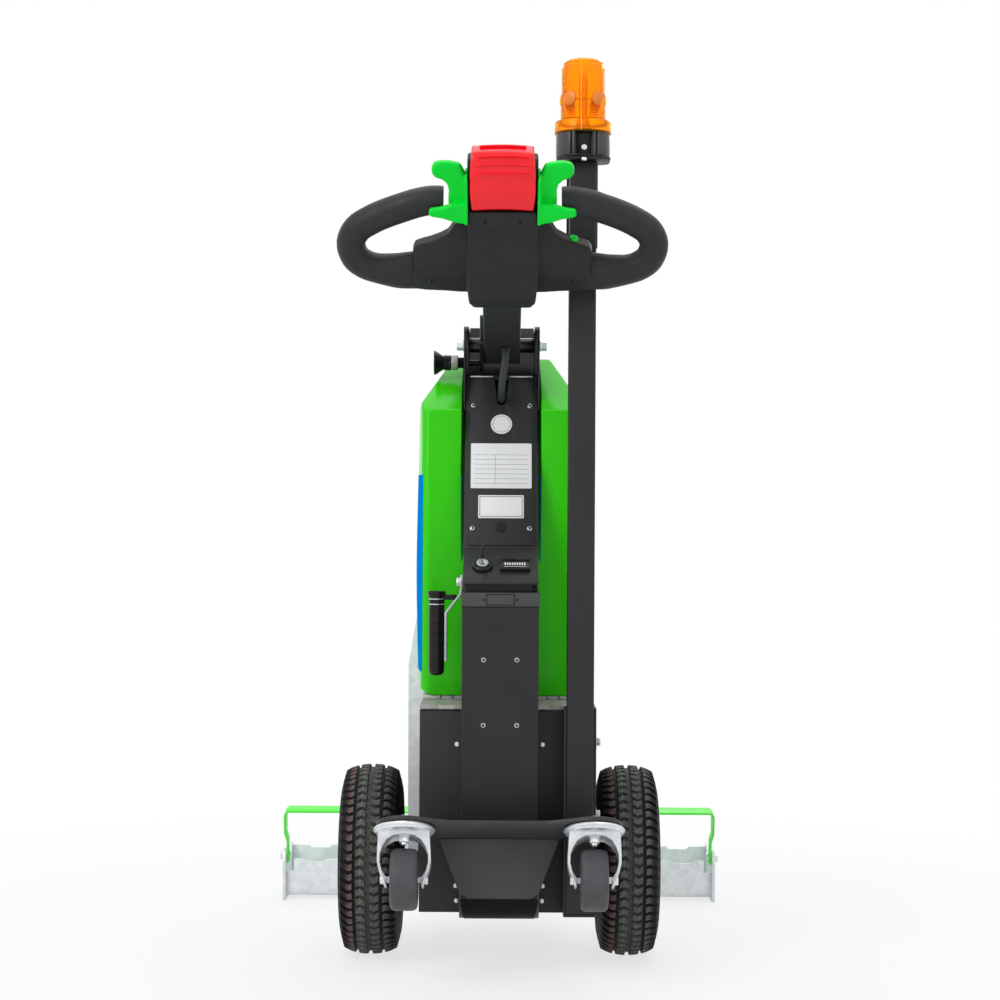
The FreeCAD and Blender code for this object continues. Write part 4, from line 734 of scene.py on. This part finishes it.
# Two thin rings in the lamp's grooves, in bright zinc as a painted highlight along the lamp's glossy rings.
rings = [placed(turned([(9.8, -0.6), (10.3, -0.6), (10.3, 0.6), (9.8, 0.6)], 36, closed=True),
                lamp_axis @ shift(0, 0, height)) for height in (94.7, 101.7)]
piece("hand_lamp_bolt_and_ring_highlights", gathered(strap_bolt, *rings), bright_zinc)

# ---- beacon ----

beacon_axis = foot_of("beacon_lens")
outer = [(35.6, 0), (37.3, 0.8), (37.3, 14.2), (36, 16.4), (31, 17.2), (29.6, 18)]


def ribs(low, high, count, radius, depth):
    """Half-round ribs one over another on the lens."""
    pitch = (high - low) / count
    out = []
    for step in range(count):
        for share, rise in ((0.1, 0.0), (0.3, 0.8), (0.5, 1.0), (0.7, 0.8), (0.9, 0.0)):
            out.append((radius - depth * (1 - rise), low + pitch * (step + share)))
    return out


outer += ribs(18.4, 35, 6, 29.6, 0.8)
outer += [(28.8, 35.6), (29.6, 37), (30.7, 41), (30.9, 44.5), (30.7, 48), (29.6, 51.6), (28.4, 52.8)]
outer += ribs(53.4, 86, 12, 28.4, 0.8)
outer += [(26.8, 86.6), (26.3, 91.2), (25.2, 92), (25.8, 93), (22.4, 96.2), (15, 98.8), (8, 99.8), (0, 100)]
inner = [(0, 97.4), (8, 97.2), (15, 96.2), (21, 93.8), (24, 90.6), (24.4, 87), (25.8, 84), (26.2, 54),
         (28.2, 48), (28.4, 41), (26.8, 36), (27.2, 19), (34.2, 14), (34.2, 0)]
lens = turned(outer[::-1] + inner[::-1], 64, sharp=70)
piece("beacon_lens_ribbed", placed(lens, beacon_axis), amber, ("beacon_lens",), smooth=60)
core = turned([(0, 1), (20, 1), (20, 5), (10, 8), (8, 20), (5.5, 24), (5.5, 74), (4.5, 80), (0, 82)], 32,
              sharp=60)
piece("beacon_lamp", placed(core, beacon_axis), lamp_core)
# A thin ridge down the lens, drawn paler as a painted highlight.
seam = [(-3.7, -math.sqrt(radius ** 2 - 3.7 ** 2), height, 0.7, 0.5)
        for radius, height in ((37.3, 1), (37.3, 14), (36, 16.3), (29.9, 18.6), (29.7, 34.5), (31, 44.5),
                               (28.6, 53.6), (28.5, 85.6), (26.6, 87.4), (25.6, 92.6), (22.2, 96.2))]
eye = turned([(0, 1.6), (4.5, 1.3), (7.8, 0.5), (9.2, -0.4), (9.2, -3), (0, -3)], 32, sharp=60)
eyes = repeated(eye, [turn("Z", degrees) @ shift(0, -30, 44.3) @ REARWARD for degrees in (-38, 38, 142, 218)])
piece("beacon_lens_eyes", placed(eyes, beacon_axis), pale_amber)
piece("beacon_lens_seam_highlight", placed(swept(seam, Vector((0, 1, 0)), 10), beacon_axis), seam_painted_highlight)

base_axis = foot_of("beacon_base")


def ring_part(inside, outside, low, high, start, end):
    """Part of a ring between two angles, counted from straight towards the operator."""
    bm = bmesh.new()
    corners = ((inside, low), (outside, low), (outside, high), (inside, high))
    verts = [bm.verts.new((x, 0, z)) for x, z in corners]
    bm.faces.new(verts)
    bmesh.ops.rotate(bm, cent=(0, 0, 0), matrix=turn("Z", start - 90), verts=verts)
    bmesh.ops.spin(bm, geom=all_parts(bm), cent=(0, 0, 0), axis=(0, 0, 1), angle=math.radians(end - start),
                   steps=max(2, round((end - start) / 8)))
    close_up(bm)
    round_edges(bm, sharp_edges(bm, 38), 0.7, 2)
    return bm


drum = turned([(0, 0.2), (27, 0.2), (27, 31), (33.4, 31.6), (34.8, 32.8), (34.8, 35.6), (33, 36), (0, 36)],
              48, edge=0.4, sharp=60)
foot_ring = turned([(26, 0), (34, 0), (34.6, 1), (34.6, 3.6), (33, 4.4), (26, 4.4)], 48, closed=True,
                   edge=0.3)
piece("beacon_socket", placed(gathered(drum, foot_ring), base_axis), gloss_black, ("beacon_base",))
cheeks = [ring_part(26.5, 35.2, 3, 33, side + start, side + end)
          for side in (0, 180) for start, end in ((-88, -30), (-26.5, -20), (20, 26.5), (30, 88))]
piece("beacon_cheeks", placed(gathered(*cheeks), base_axis), socket_grey)
bolt_rear = placed(hexagon(7, -1, 3.4), base_axis @ shift(0.5, -27, 12.5) @ REARWARD)
bolt_shelf = placed(hexagon(6.5, 0, 4), base_axis @ shift(0, -42, -3) @ turn("X", 180))
piece("beacon_bolts", gathered(bolt_rear, bolt_shelf), bright_zinc)

# ---- fasteners on the chassis ----

spots = [shift(x, REAR_WALL, z) @ REARWARD for x, z in ((-56, 305), (56, 305), (-57, 119.5), (57, 119.5),
                                                        (-56, 100), (56, 100))]
piece("rear_wall_bolts", repeated(hexagon(6, -0.5, 2.6), spots), bright_zinc)
front_face = corners_of("front_plate")[1].y
spots = [shift(x, front_face, z) @ turn("X", -90) for x in (-112, 112) for z in (130, 235, 345)]
spots += [shift(x, front_face, z) @ turn("X", -90) for x in (-90, 90) for z in (480, 560)]
piece("front_plate_bolts", repeated(hex_bolt(13, 6), spots), dull_zinc)
strip_screws = [shift(x, -134.5, 358.5) @ REARWARD for x in (-82, -66, 66, 82)]
piece("hood_foot_screws", repeated(dome_screw(2.6, 1.8), strip_screws), dull_zinc)
channel_high = corners_of("mast_channel")[1]
side_spots = [shift(channel_high.x, -236, z) @ OUTWARD for z in (120, 215, 310)]
piece("mast_bolts", repeated(hex_bolt(10, 5), side_spots), dull_zinc)
eased_node("bail_pins", bright_zinc, 0.4)

# ---- pivot, sector and index plunger ----

eased_node("tiller_pivot_bolt", bright_zinc, 0.6)
eased_node("index_sector", yoke_black_and_painted_shade, 0.5, body="tiller")
teeth = repeated(block(-29.6, -25.4, -1.2, 1.2, 34.6, 36.8, 0.4),
                 [AT_TILLER_PIVOT @ turn("X", 4.5 * step) for step in range(-8, 26)])
piece("sector_teeth", teeth, powder_coat, body="tiller")

plunger_low, plunger_high = corners_of("index_plunger")
plunger_y = (plunger_low.y + plunger_high.y) / 2
plunger_z = (plunger_low.z + plunger_high.z) / 2
ear_face = plunger_low.x + 42
plunger_axis = shift(ear_face, plunger_y, plunger_z) @ turn("Y", -90)
knob = turned([(0, 38.5), (9, 38.5), (14.6, 42), (16.6, 41.8), (17, 40.2), (15.6, 37.5), (12.4, 33),
               (10.6, 30), (9.6, 28.5), (10.8, 27.6), (10.8, 26.2), (9.8, 25.6), (10.8, 24.8), (10.8, 23.2),
               (9.8, 22.6), (10.8, 21.8), (10.8, 19.5), (9.5, 18), (0, 18)], 40, sharp=60)
piece("plunger_knob", placed(knob, plunger_axis), gloss_black, ("index_plunger",))
thread = [(0, -7)]
for step in range(10):
    thread += [(7.9, -7 + step * 1.6), (7.2, -6.2 + step * 1.6)]
thread += [(7.9, 9), (0, 9)]
piece("plunger_nut", placed(hexagon(20, 8.5, 18, 0.9), plunger_axis), nickel)
pin = turned([(0, -21.5), (3.2, -21.5), (4, -20.6), (4, -6), (0, -6)], 24)
piece("plunger_thread", placed(gathered(turned(thread, 28, sharp=80), pin), plunger_axis), gloss_black)

# ---- tiller cable ----

cable_rows = eased([(5, -139.8, 831.2), (5, -144.4, 818.4), (3.4, -142.8, 804), (1.4, -138.6, 790),
                    (0.2, -130.6, 777.4), (0, -118.5, 768.6), (0, -105.8, 763)], 6)
cable = swept([row + (5, 5) for row in cable_rows], Vector((1, 0, 0)), 20, rim=0.6)
cable = piece("tiller_cable_sleeve", cable, cable_grey, ("tiller_cable",), body=None)
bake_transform(cable)
collar = turned([(4.4, -1), (7.4, -1), (7.4, 2), (5.4, 6), (4.4, 6)], 28, closed=True, edge=0.4)
piece("cable_gland", placed(collar, shift(5, -139.8, 831.2) @ turn("X", 160)), gloss_black, body="tiller")

# ---- tiller head ----

shoulder_rows = [(20, -108, -1, -66), (42, -104, -1, -65), (55, -101.5, -1.2, -60), (62, -95, -2, -57),
                 (68.5, -84, -2.4, -54), (80, -77.4, -3, -50), (90, -73.5, -3.6, -47),
                 (101.6, -69.8, -4.4, -44), (110.4, -66.6, -5.6, -43), (113.4, -60, -11, -40)]
rings = []
for x, top, low, crest in shoulder_rows:
    back, front = (18, -21) if x < 112 else (12, -14)
    rings.append([(x, top, -9), (x, top * 0.55 + crest * 0.45, -16), (x, crest, front),
                  (x, (low + crest) / 2, -18), (x, low, -9), (x, low, 10), (x, low * 0.8 + top * 0.2, back),
                  (x, low * 0.2 + top * 0.8, back), (x, top, 10)])
shoulder = lofted(rings)
core = prism([(12, -28), (-8, -28.6), (-45, -28.8), (-88, -27), (-106, -30.2), (-125.5, -28.5), (-125.5, -14),
              (-190, -14), (-190, 10), (-172, 18), (-122, 26), (-45, 26), (12, 26)], -44, 44,
             [12, 0, 0, 20, 5, 2, 0, 5, 8, 20, 30, 0, 12], 3.4, 3)
for vert in core.verts:
    along = 12 - vert.co.x
    swell = 0.04 * math.sin(math.pi * min(max(along / 122, 0), 1))
    vert.co.z *= 1 + swell - 0.05 * max(0, 1 - along / 30)
core = placed(core, SIDEWAYS)
neck = placed(prism(rectangle(41, 31), -36, 0, 7, 2.5, 3),
              ON_HEAD.inverted() @ ON_TILLER @ shift(0, -222, 0) @ turn("X", 90))
head = piece("tiller_head_housing", placed(gathered(both_sides(shoulder), core, neck), ON_HEAD),
             moulded_black, ("tiller_head",), body="tiller", smooth=60)
one_skin(head, 0.0014)

screws = [ON_HEAD @ shift(x, -113.6, -29) @ turn("Y", 180) for x in (-22, 22)]
screws += [ON_HEAD @ shift(x, -22, -16.5) @ turn("Y", 180) @ turn("X", -20) for x in (-90, 90)]
piece("head_screws", repeated(dome_screw(3.6, 1.6), screws), gloss_black, body="tiller")

button_side = [(-127.5, -15), (-127.5, -31), (-152, -34.8), (-184, -32.4), (-201.6, -21.6), (-202, 11),
               (-190, 11), (-190, -14.5)]
button = placed(prism(button_side, -40.8, 40.8, [0, 4, 60, 30, 12, 13.2, 0, 4], 2.6, 4, 8),
                SIDEWAYS)
ridges = [block(-34, 34, y - 0.9, y + 0.9, z, z + 3, 0.8, 2) for y, z in ((-179, -35.3), (-190.5, -32.0))]
ridges.append(placed(block(-33, 33, -1.0, 1.0, -1.5, 1.5, 0.8, 2), shift(0, -199.5, -26.4) @ turn("X", -35)))
ridges.append(block(-31, 31, -205.2, -202, -8, -5.4, 0.8, 2))
button = gathered(button, *ridges)
for across in range(-35, 40, 5):
    bmesh.ops.bisect_plane(button, geom=all_parts(button), plane_co=(across, 0, 0), plane_no=(1, 0, 0))
for vert in button.verts:
    crown = 1 - (vert.co.x / 41) ** 2
    vert.co.x *= 1 - 0.065 * ((vert.co.y + 165) / 38) ** 2
    vert.co.y -= 2.6 * crown
    vert.co.z -= 1.0 * crown
piece("belly_button_moulded", placed(button, ON_HEAD), button_red, ("belly_button",), body="tiller",
      smooth=40)

paddle = prism([(45, -112), (61, -112), (67, -122), (67.6, -137), (66.9, -150.5), (69, -158.5), (74.4, -164),
                (83.2, -167), (87.6, -172.4), (88, -179.6), (85, -186), (76, -188.4), (66.3, -188),
                (52.6, -185.4), (47.6, -175), (45, -163)],
               -20, -7, [0, 4, 4, 8, 8, 8, 6, 4, 4, 4, 4, 4, 6, 6, 6, 0], 4.2, 4)
finger = prism([(45, -109.5), (60.8, -112.4), (74.2, -117.3), (87.6, -119.6), (92, -122.2), (91, -129.4),
                (80, -131), (73.9, -132.7), (64, -136), (45, -140)], -33, -21.5,
               [0, 6, 8, 4, 3, 3, 6, 6, 8, 0], 3.6, 4)
flange = block(43.2, 47.4, -172, -109.5, -34, 2, 1.4, 3)
web = block(45, 60, -138, -112, -28, -12, 3.5, 3)
wings = piece("throttle_wings_moulded", placed(both_sides(gathered(paddle, finger, flange, web)), ON_HEAD),
              wing_green, ("throttle_wings",), body="tiller", smooth=60)
one_skin(wings, 0.0009)

horn = turned([(0, 5.5), (3, 5.1), (5, 3.6), (5.8, 1.4), (6, -2), (0, -2)], 28, sharp=60)
piece("horn_dome", placed(horn, ON_HEAD @ shift(90, -73.2, 0) @ REARWARD), wing_green, ("horn_button",),
      body="tiller")

grip_rows = eased([(74, -127.6, 0, 17.6, 18), (89, -127.4, 0, 18, 18.4), (107, -123.5, 0, 18.2, 18.5),
                   (124, -117.6, 0, 18.3, 18.5), (147, -108.6, 0, 18.3, 18.5), (165, -99.6, 0, 18.3, 18.5),
                   (183, -86.8, 0, 18.3, 18.5), (191.8, -67.6, 0, 18.3, 18.5), (187, -47.5, 0, 18.5, 18.5),
                   (174.6, -36.2, 0, 18.6, 18.5), (160.7, -31, 0, 19.2, 18), (146, -28.6, 0, 21.4, 17.5),
                   (131.5, -27.2, 0, 23.8, 17), (118, -27.8, 0, 25.2, 16), (107, -28.6, 0, 26, 15.4),
                   (94, -30.4, 0, 27.6, 15), (80, -33, 0, 27, 14)], 4)
for side, matrix in (("right", Matrix.Identity(4)), ("left", MIRROR)):
    grip = swept(grip_rows, Vector((0, 0, 1)), 32, 2.1, 1.4)
    piece("hand_grip_" + side + "_moulded", placed(placed(grip, matrix), ON_HEAD), grip_rubber,
          ("hand_grip_" + side,), body="tiller", smooth=50)

# ---- drive wheels ----

CROWN = 125.4                        # radius of the skin in the middle
TREAD_TOP = 129.6                    # radius over the blocks
BLOCKS = 60                          # in each row
INNER_ROW, OUTER_ROW = 9.9, 27.6     # the rows' distances from the middle
SLIM = 80.5 / 86                     # the blocks and the skin are drawn for a tyre 86 mm wide


def carcass_height(x):
    """Radius of the tyre's skin at a distance from its middle."""
    return CROWN - 0.0042 * x * x - 0.0000012 * x ** 4


def tread_block(points, row, depth, taper=0.9):
    """A tread block: its outline is (across, around) about its row, wrapped over the tyre's crown."""
    bm = prism(points, 0, 1, 0, 0)
    top = [vert for vert in bm.verts if vert.co.z > 0.5]
    bmesh.ops.scale(bm, vec=(taper, taper, 1), verts=top)
    round_edges(bm, [edge for edge in bm.edges if all(vert in top for vert in edge.verts)], 0.9, 1)
    for vert in bm.verts:
        across = row + vert.co.x
        radius = carcass_height(across) - 2 + vert.co.z * (depth + 2)
        angle = vert.co.y / TREAD_TOP
        vert.co = (across, radius * math.sin(angle), radius * math.cos(angle))
    return bm


def tyre():
    """Carcass with a crown and round shoulders, and four rows of blocks around it."""
    side = [(32, 58), (32.6, 64), (35, 68.5), (39, 76), (42.2, 87), (43, 97), (42.4, 105), (40.6, 112),
            (37, carcass_height(37) - 1.5)]
    side = eased(side, 3)
    crown = [(x, carcass_height(x)) for x in (32, 26, 18, 9, 0)]
    half = [(radius, x) for x, radius in side + crown]
    whole = half + [(radius, -x) for radius, x in half[::-1][1:]]
    carcass = placed(turned(whole, 96, closed=True, sharp=80), OUTWARD)
    chevron = [(-7.6, -6.2), (0, -2.8), (7.6, -6.2), (7.6, 4.6), (0, 8.0), (-7.6, 4.6)]
    flipped = [(x, -y) for x, y in chevron[::-1]]
    shoulder = [(-7.4, -5.0), (-1.0, -3.0), (4.0, -5.2), (12.5, -8.0), (12.5, 1.6), (4.0, 5.4), (-1.0, 7.8),
                (-7.4, 5.8)]
    turned_shoulder = [(-x, -y) for x, y in shoulder]
    rows = [(chevron, -INNER_ROW, 0.0), (flipped, INNER_ROW, 0.5),
            (turned_shoulder, -OUTER_ROW, 0.3), (shoulder, OUTER_ROW, 0.8)]
    made = [carcass]
    for points, row, phase in rows:
        bar = tread_block(points, row, TREAD_TOP - CROWN)
        made.append(repeated(bar, [turn("X", 360 / BLOCKS * (step + phase)) for step in range(BLOCKS)]))
        bar.free()
    for side in (-1, 1):
        for radius, low, high in ((101.5, 41.2, 43.4), (72, 36.2, 38.0)):
            line = [(radius - 1.1, low * side), (radius, high * side), (radius + 1.1, low * side)]
            rib = turned(line, 96, closed=True, sharp=80)
            made.append(placed(rib, OUTWARD))
    whole = gathered(*made)
    bmesh.ops.scale(whole, vec=(SLIM, 1, 1), verts=whole.verts)
    return whole


def wheel_rim():
    """Pressed two-piece rim with a dished web, and its bolts."""
    half = [(22, 29), (23, 12), (28, 6), (34, 4), (42, 4), (48, 7), (50, 14), (50.4, 28), (52, 31.5),
            (57, 33), (61.5, 32.6), (63, 31), (62.4, 29.8), (58, 29.6), (56, 28), (56, 0)]
    back = [(radius, -x) for radius, x in half[::-1][1:]]
    ring = placed(turned(half + back + [(10, -29), (10, 29)], 72, closed=True, edge=0.5, sharp=50), OUTWARD)
    bolts = []
    for side in (-1, 1):
        for step in range(4):
            bolts.append(turn("X", 90 * step + 45) @ shift(side * 4, 0, 38) @ turn("Y", 90 * side))
    bolts = repeated(hex_bolt(10, 5), bolts)
    return ring, bolts


for side, sign in (("right", 1), ("left", -1)):
    hub = middle("drive_tyre_" + side)
    body = "drive_wheel_" + side
    rubber = tyre_finish("tyre_rubber_" + side, "tyre", hub, hub.x - OUTER_ROW * SLIM,
                         hub.x - INNER_ROW * SLIM)
    facing = Matrix.Translation(hub)
    piece("drive_tyre_" + side + "_treaded", placed(tyre(), facing), rubber, ("drive_tyre_" + side,),
          body=body, smooth=40)
    ring, bolts = wheel_rim()
    piece("drive_rim_" + side + "_pressed", placed(ring, facing), rim_grey, ("drive_rim_" + side,), body=body)
    piece("rim_bolts_" + side, placed(bolts, facing), dull_zinc, body=body)
    valve = turned([(0, 22), (2.2, 22), (2.4, 20), (2.4, 12), (3.4, 10), (4, 0), (0, 0)], 16, edge=0.2)
    valve = placed(valve, facing @ turn("X", 20) @ shift(sign * 10, 0, 49) @ turn("Y", 62 * sign))
    piece("tyre_valve_" + side, valve, gloss_black, body=body)
    eased_node("half_shaft_" + side, dull_zinc, 0.7, body=body)

# ---- castors ----

FORK_SIDE = [(32.4, -8.6), (33.0, -18), (34.0, -32), (34.2, -44), (31.8, -54), (26.6, -62), (25.6, -66.5),
             (25.4, -71), (22.2, -71), (22.2, -61.5), (27.8, -53), (30.6, -44), (30.4, -35), (27.6, -27),
             (21.8, -18.4), (13, -13.6), (0, -12)]


def castor_fork():
    """Strap bent to a horseshoe, its broad top under the crown and its narrow feet trailing to the axle."""
    outline = FORK_SIDE + [(-x, z) for x, z in FORK_SIDE[::-1][1:]]
    bm = placed(prism(outline, -1, 1, 0, 0), turn("X", 90))
    for vert in bm.verts:
        fall = min(max((-8.6 - vert.co.z) / 53.4, 0), 1)
        vert.co.y = vert.co.y * (18 - 8 * fall) + 2 + 23 * fall
    face_outward(bm)
    round_edges(bm, sharp_edges(bm, 30), 0.7, 2)
    return bm


crown_ring = [(12, -6.4), (34.8, -6.4), (34.8, -1.6), (37, -1.4), (38.8, -2.8), (39.3, -4.8), (38.7, -5.9),
              (37.5, -5.4), (36.8, -6.6), (36.2, -8.8), (12, -8.8)]
for side in ("right", "left"):
    castor_x = middle("castor_fork_" + side).x
    swivel = ON_PLATE @ shift(castor_x, CASTOR_BACK, 0)
    heads = both_sides(placed(hexagon(11, 25.4, 30.6), OUTWARD))
    axle = placed(gathered(placed(turned([(0, 26), (4, 26), (4, -26), (0, -26)], 20), OUTWARD), heads),
                  shift(0, 25, -62))
    under_nut = gathered(hexagon(12.5, -20.4, -11.5, 0.8),
                         turned([(0, -23.6), (3.2, -23.6), (3.8, -23), (3.8, -20), (0, -20)], 20))
    crown = turned(crown_ring, 64, closed=True, edge=0.3, sharp=50)
    fork = placed(gathered(castor_fork(), crown, axle, under_nut), swivel)
    piece("castor_fork_" + side + "_finished", fork, bright_zinc, ("castor_fork_" + side,),
          body="castor_swivel_" + side, smooth=40)

    wheel_mid = middle("castor_wheel_" + side)
    tread = [(39.2, 0), (39.2, 9), (38.6, 13.4), (36.4, 16.4), (33.6, 17.4), (31.4, 17.2), (30.6, 15.6),
             (28.8, 14.6), (14, 14.6), (12.6, 16.6), (11.2, 17.4), (6.4, 17.4), (6.4, 0)]
    whole = tread + [(radius, -x) for radius, x in tread[::-1][1:-1]]
    roller = placed(turned(whole, 64, closed=True, sharp=60), Matrix.Translation(wheel_mid) @ OUTWARD)
    piece("castor_wheel_" + side + "_moulded", roller, castor_rubber, ("castor_wheel_" + side,),
          body="castor_roller_" + side, smooth=40)

over_castor = ON_PLATE @ shift(-castor_x, CASTOR_BACK, 0)     # castor_x is still the left one's
race = turned([(0, -0.1), (33.4, -0.1), (34, -0.8), (34, -5.4), (33.4, -6), (0, -6)], 48, edge=0.2)
pad = turned([(8, 5.6), (33, 5.6), (33, 6.8), (24.5, 8.2), (19, 9.8), (8, 9.8)], 48, closed=True, edge=0.3)
piece("castor_pads", both_sides(placed(gathered(race, pad), over_castor)), powder_coat)
nut = turned([(0, 14), (6.6, 14), (9.6, 13.2), (10, 12), (10, 9.8), (6, 9.6), (6, -5.6), (0, -5.6)], 32,
             edge=0.3)
piece("castor_kingpins_finished", both_sides(placed(nut, over_castor)), bright_zinc, ("castor_kingpins",))

# ---- floor, light and camera ----

def combined(tree, operation, first, second):
    node = tree.nodes.new("ShaderNodeMath")
    node.operation = operation
    tree.links.new(first, node.inputs[0])
    tree.links.new(second, node.inputs[1])
    return node.outputs["Value"]


def seen_directly(tree):
    """1 where the camera, a reflection or a clear piece looks, 0 for the light that reaches the tug."""
    rays = tree.nodes.new("ShaderNodeLightPath").outputs
    seen = combined(tree, "MAXIMUM", rays["Is Camera Ray"], rays["Is Glossy Ray"])
    return combined(tree, "MAXIMUM", seen, rays["Is Transmission Ray"])


def shown(tree, share, first, second, output):
    """The first shader, giving way to the second by the share."""
    blend = tree.nodes.new("ShaderNodeMixShader")
    tree.links.new(share, blend.inputs["Fac"])
    tree.links.new(first, blend.inputs[1])
    tree.links.new(second, blend.inputs[2])
    tree.links.new(blend.outputs["Shader"], tree.nodes[output].inputs["Surface"])


WHITE = (1, 1, 1, 1)
floor_bm = bmesh.new()
bmesh.ops.create_grid(floor_bm, x_segments=8, y_segments=8, size=30)
floor_mesh = mesh_from(floor_bm, "studio_floor")
studio_floor = into_scene("studio_floor", floor_mesh)
floor_material = bpy.data.materials.new("pale_floor")
floor_material.use_nodes = True
tree = floor_material.node_tree
tree.nodes.remove(tree.nodes["Principled BSDF"])
diffuse = new_node(tree.nodes, "ShaderNodeBsdfDiffuse", Color=(0.84, 0.85, 0.845, 1))
white = new_node(tree.nodes, "ShaderNodeEmission", Color=WHITE, Strength=1.0)
reach = tree.nodes.new("ShaderNodeVectorMath")
reach.operation = "LENGTH"
tree.links.new(tree.nodes.new("ShaderNodeTexCoord").outputs["Object"], reach.inputs[0])
fade = new_node(tree.nodes, "ShaderNodeMapRange", From_Min=0.45, From_Max=1.45, To_Min=0.72)
fade.interpolation_type = "SMOOTHSTEP"
tree.links.new(reach.outputs["Value"], fade.inputs["Value"])
share = combined(tree, "MULTIPLY", fade.outputs["Result"], seen_directly(tree))
shown(tree, share, diffuse.outputs["BSDF"], white.outputs["Emission"], "Material Output")
floor_mesh.materials.append(floor_material)

world = bpy.data.worlds.new("studio")
bpy.context.scene.world = world
world.use_nodes = True
tree = world.node_tree
soft = tree.nodes["Background"]
soft.inputs["Color"].default_value = WHITE
soft.inputs["Strength"].default_value = 0.58
bright = new_node(tree.nodes, "ShaderNodeBackground", Color=WHITE, Strength=1.0)
shown(tree, seen_directly(tree), soft.outputs["Background"], bright.outputs["Background"], "World Output")


def soft_light(name, spot, target, size, power):
    lamp = bpy.data.lights.new(name, "AREA")
    lamp.shape = "RECTANGLE"
    lamp.size, lamp.size_y = size
    lamp.energy = power
    holder = into_scene(name, lamp)
    holder.location = spot
    holder.rotation_euler = (Vector(target) - Vector(spot)).to_track_quat("-Z", "Y").to_euler()


soft_light("key_light", (-2.2, -2.4, 2.6), (0, 0, 0.6), (1.6, 1.6), 46)
soft_light("fill_light", (2.6, -2.2, 1.6), (0, 0, 0.5), (1.6, 1.6), 11)
soft_light("top_light", (0.2, 0.4, 3.2), (0, 0, 0.4), (2.4, 2.4), 26)
soft_light("back_light", (0.6, 2.8, 2.2), (0, 0, 0.6), (1.8, 1.4), 18)

camera_data = bpy.data.cameras.new("camera")
camera_data.lens = 78.1
camera_data.sensor_width = 36
camera_data.clip_end = 60
camera = into_scene("camera", camera_data)
camera.location = (-0.0014, -3.078, 0.626)
camera.rotation_euler = (math.radians(90), math.radians(-0.3), 0)
bpy.context.scene.camera = camera
bpy.context.scene.view_settings.view_transform = "Standard"
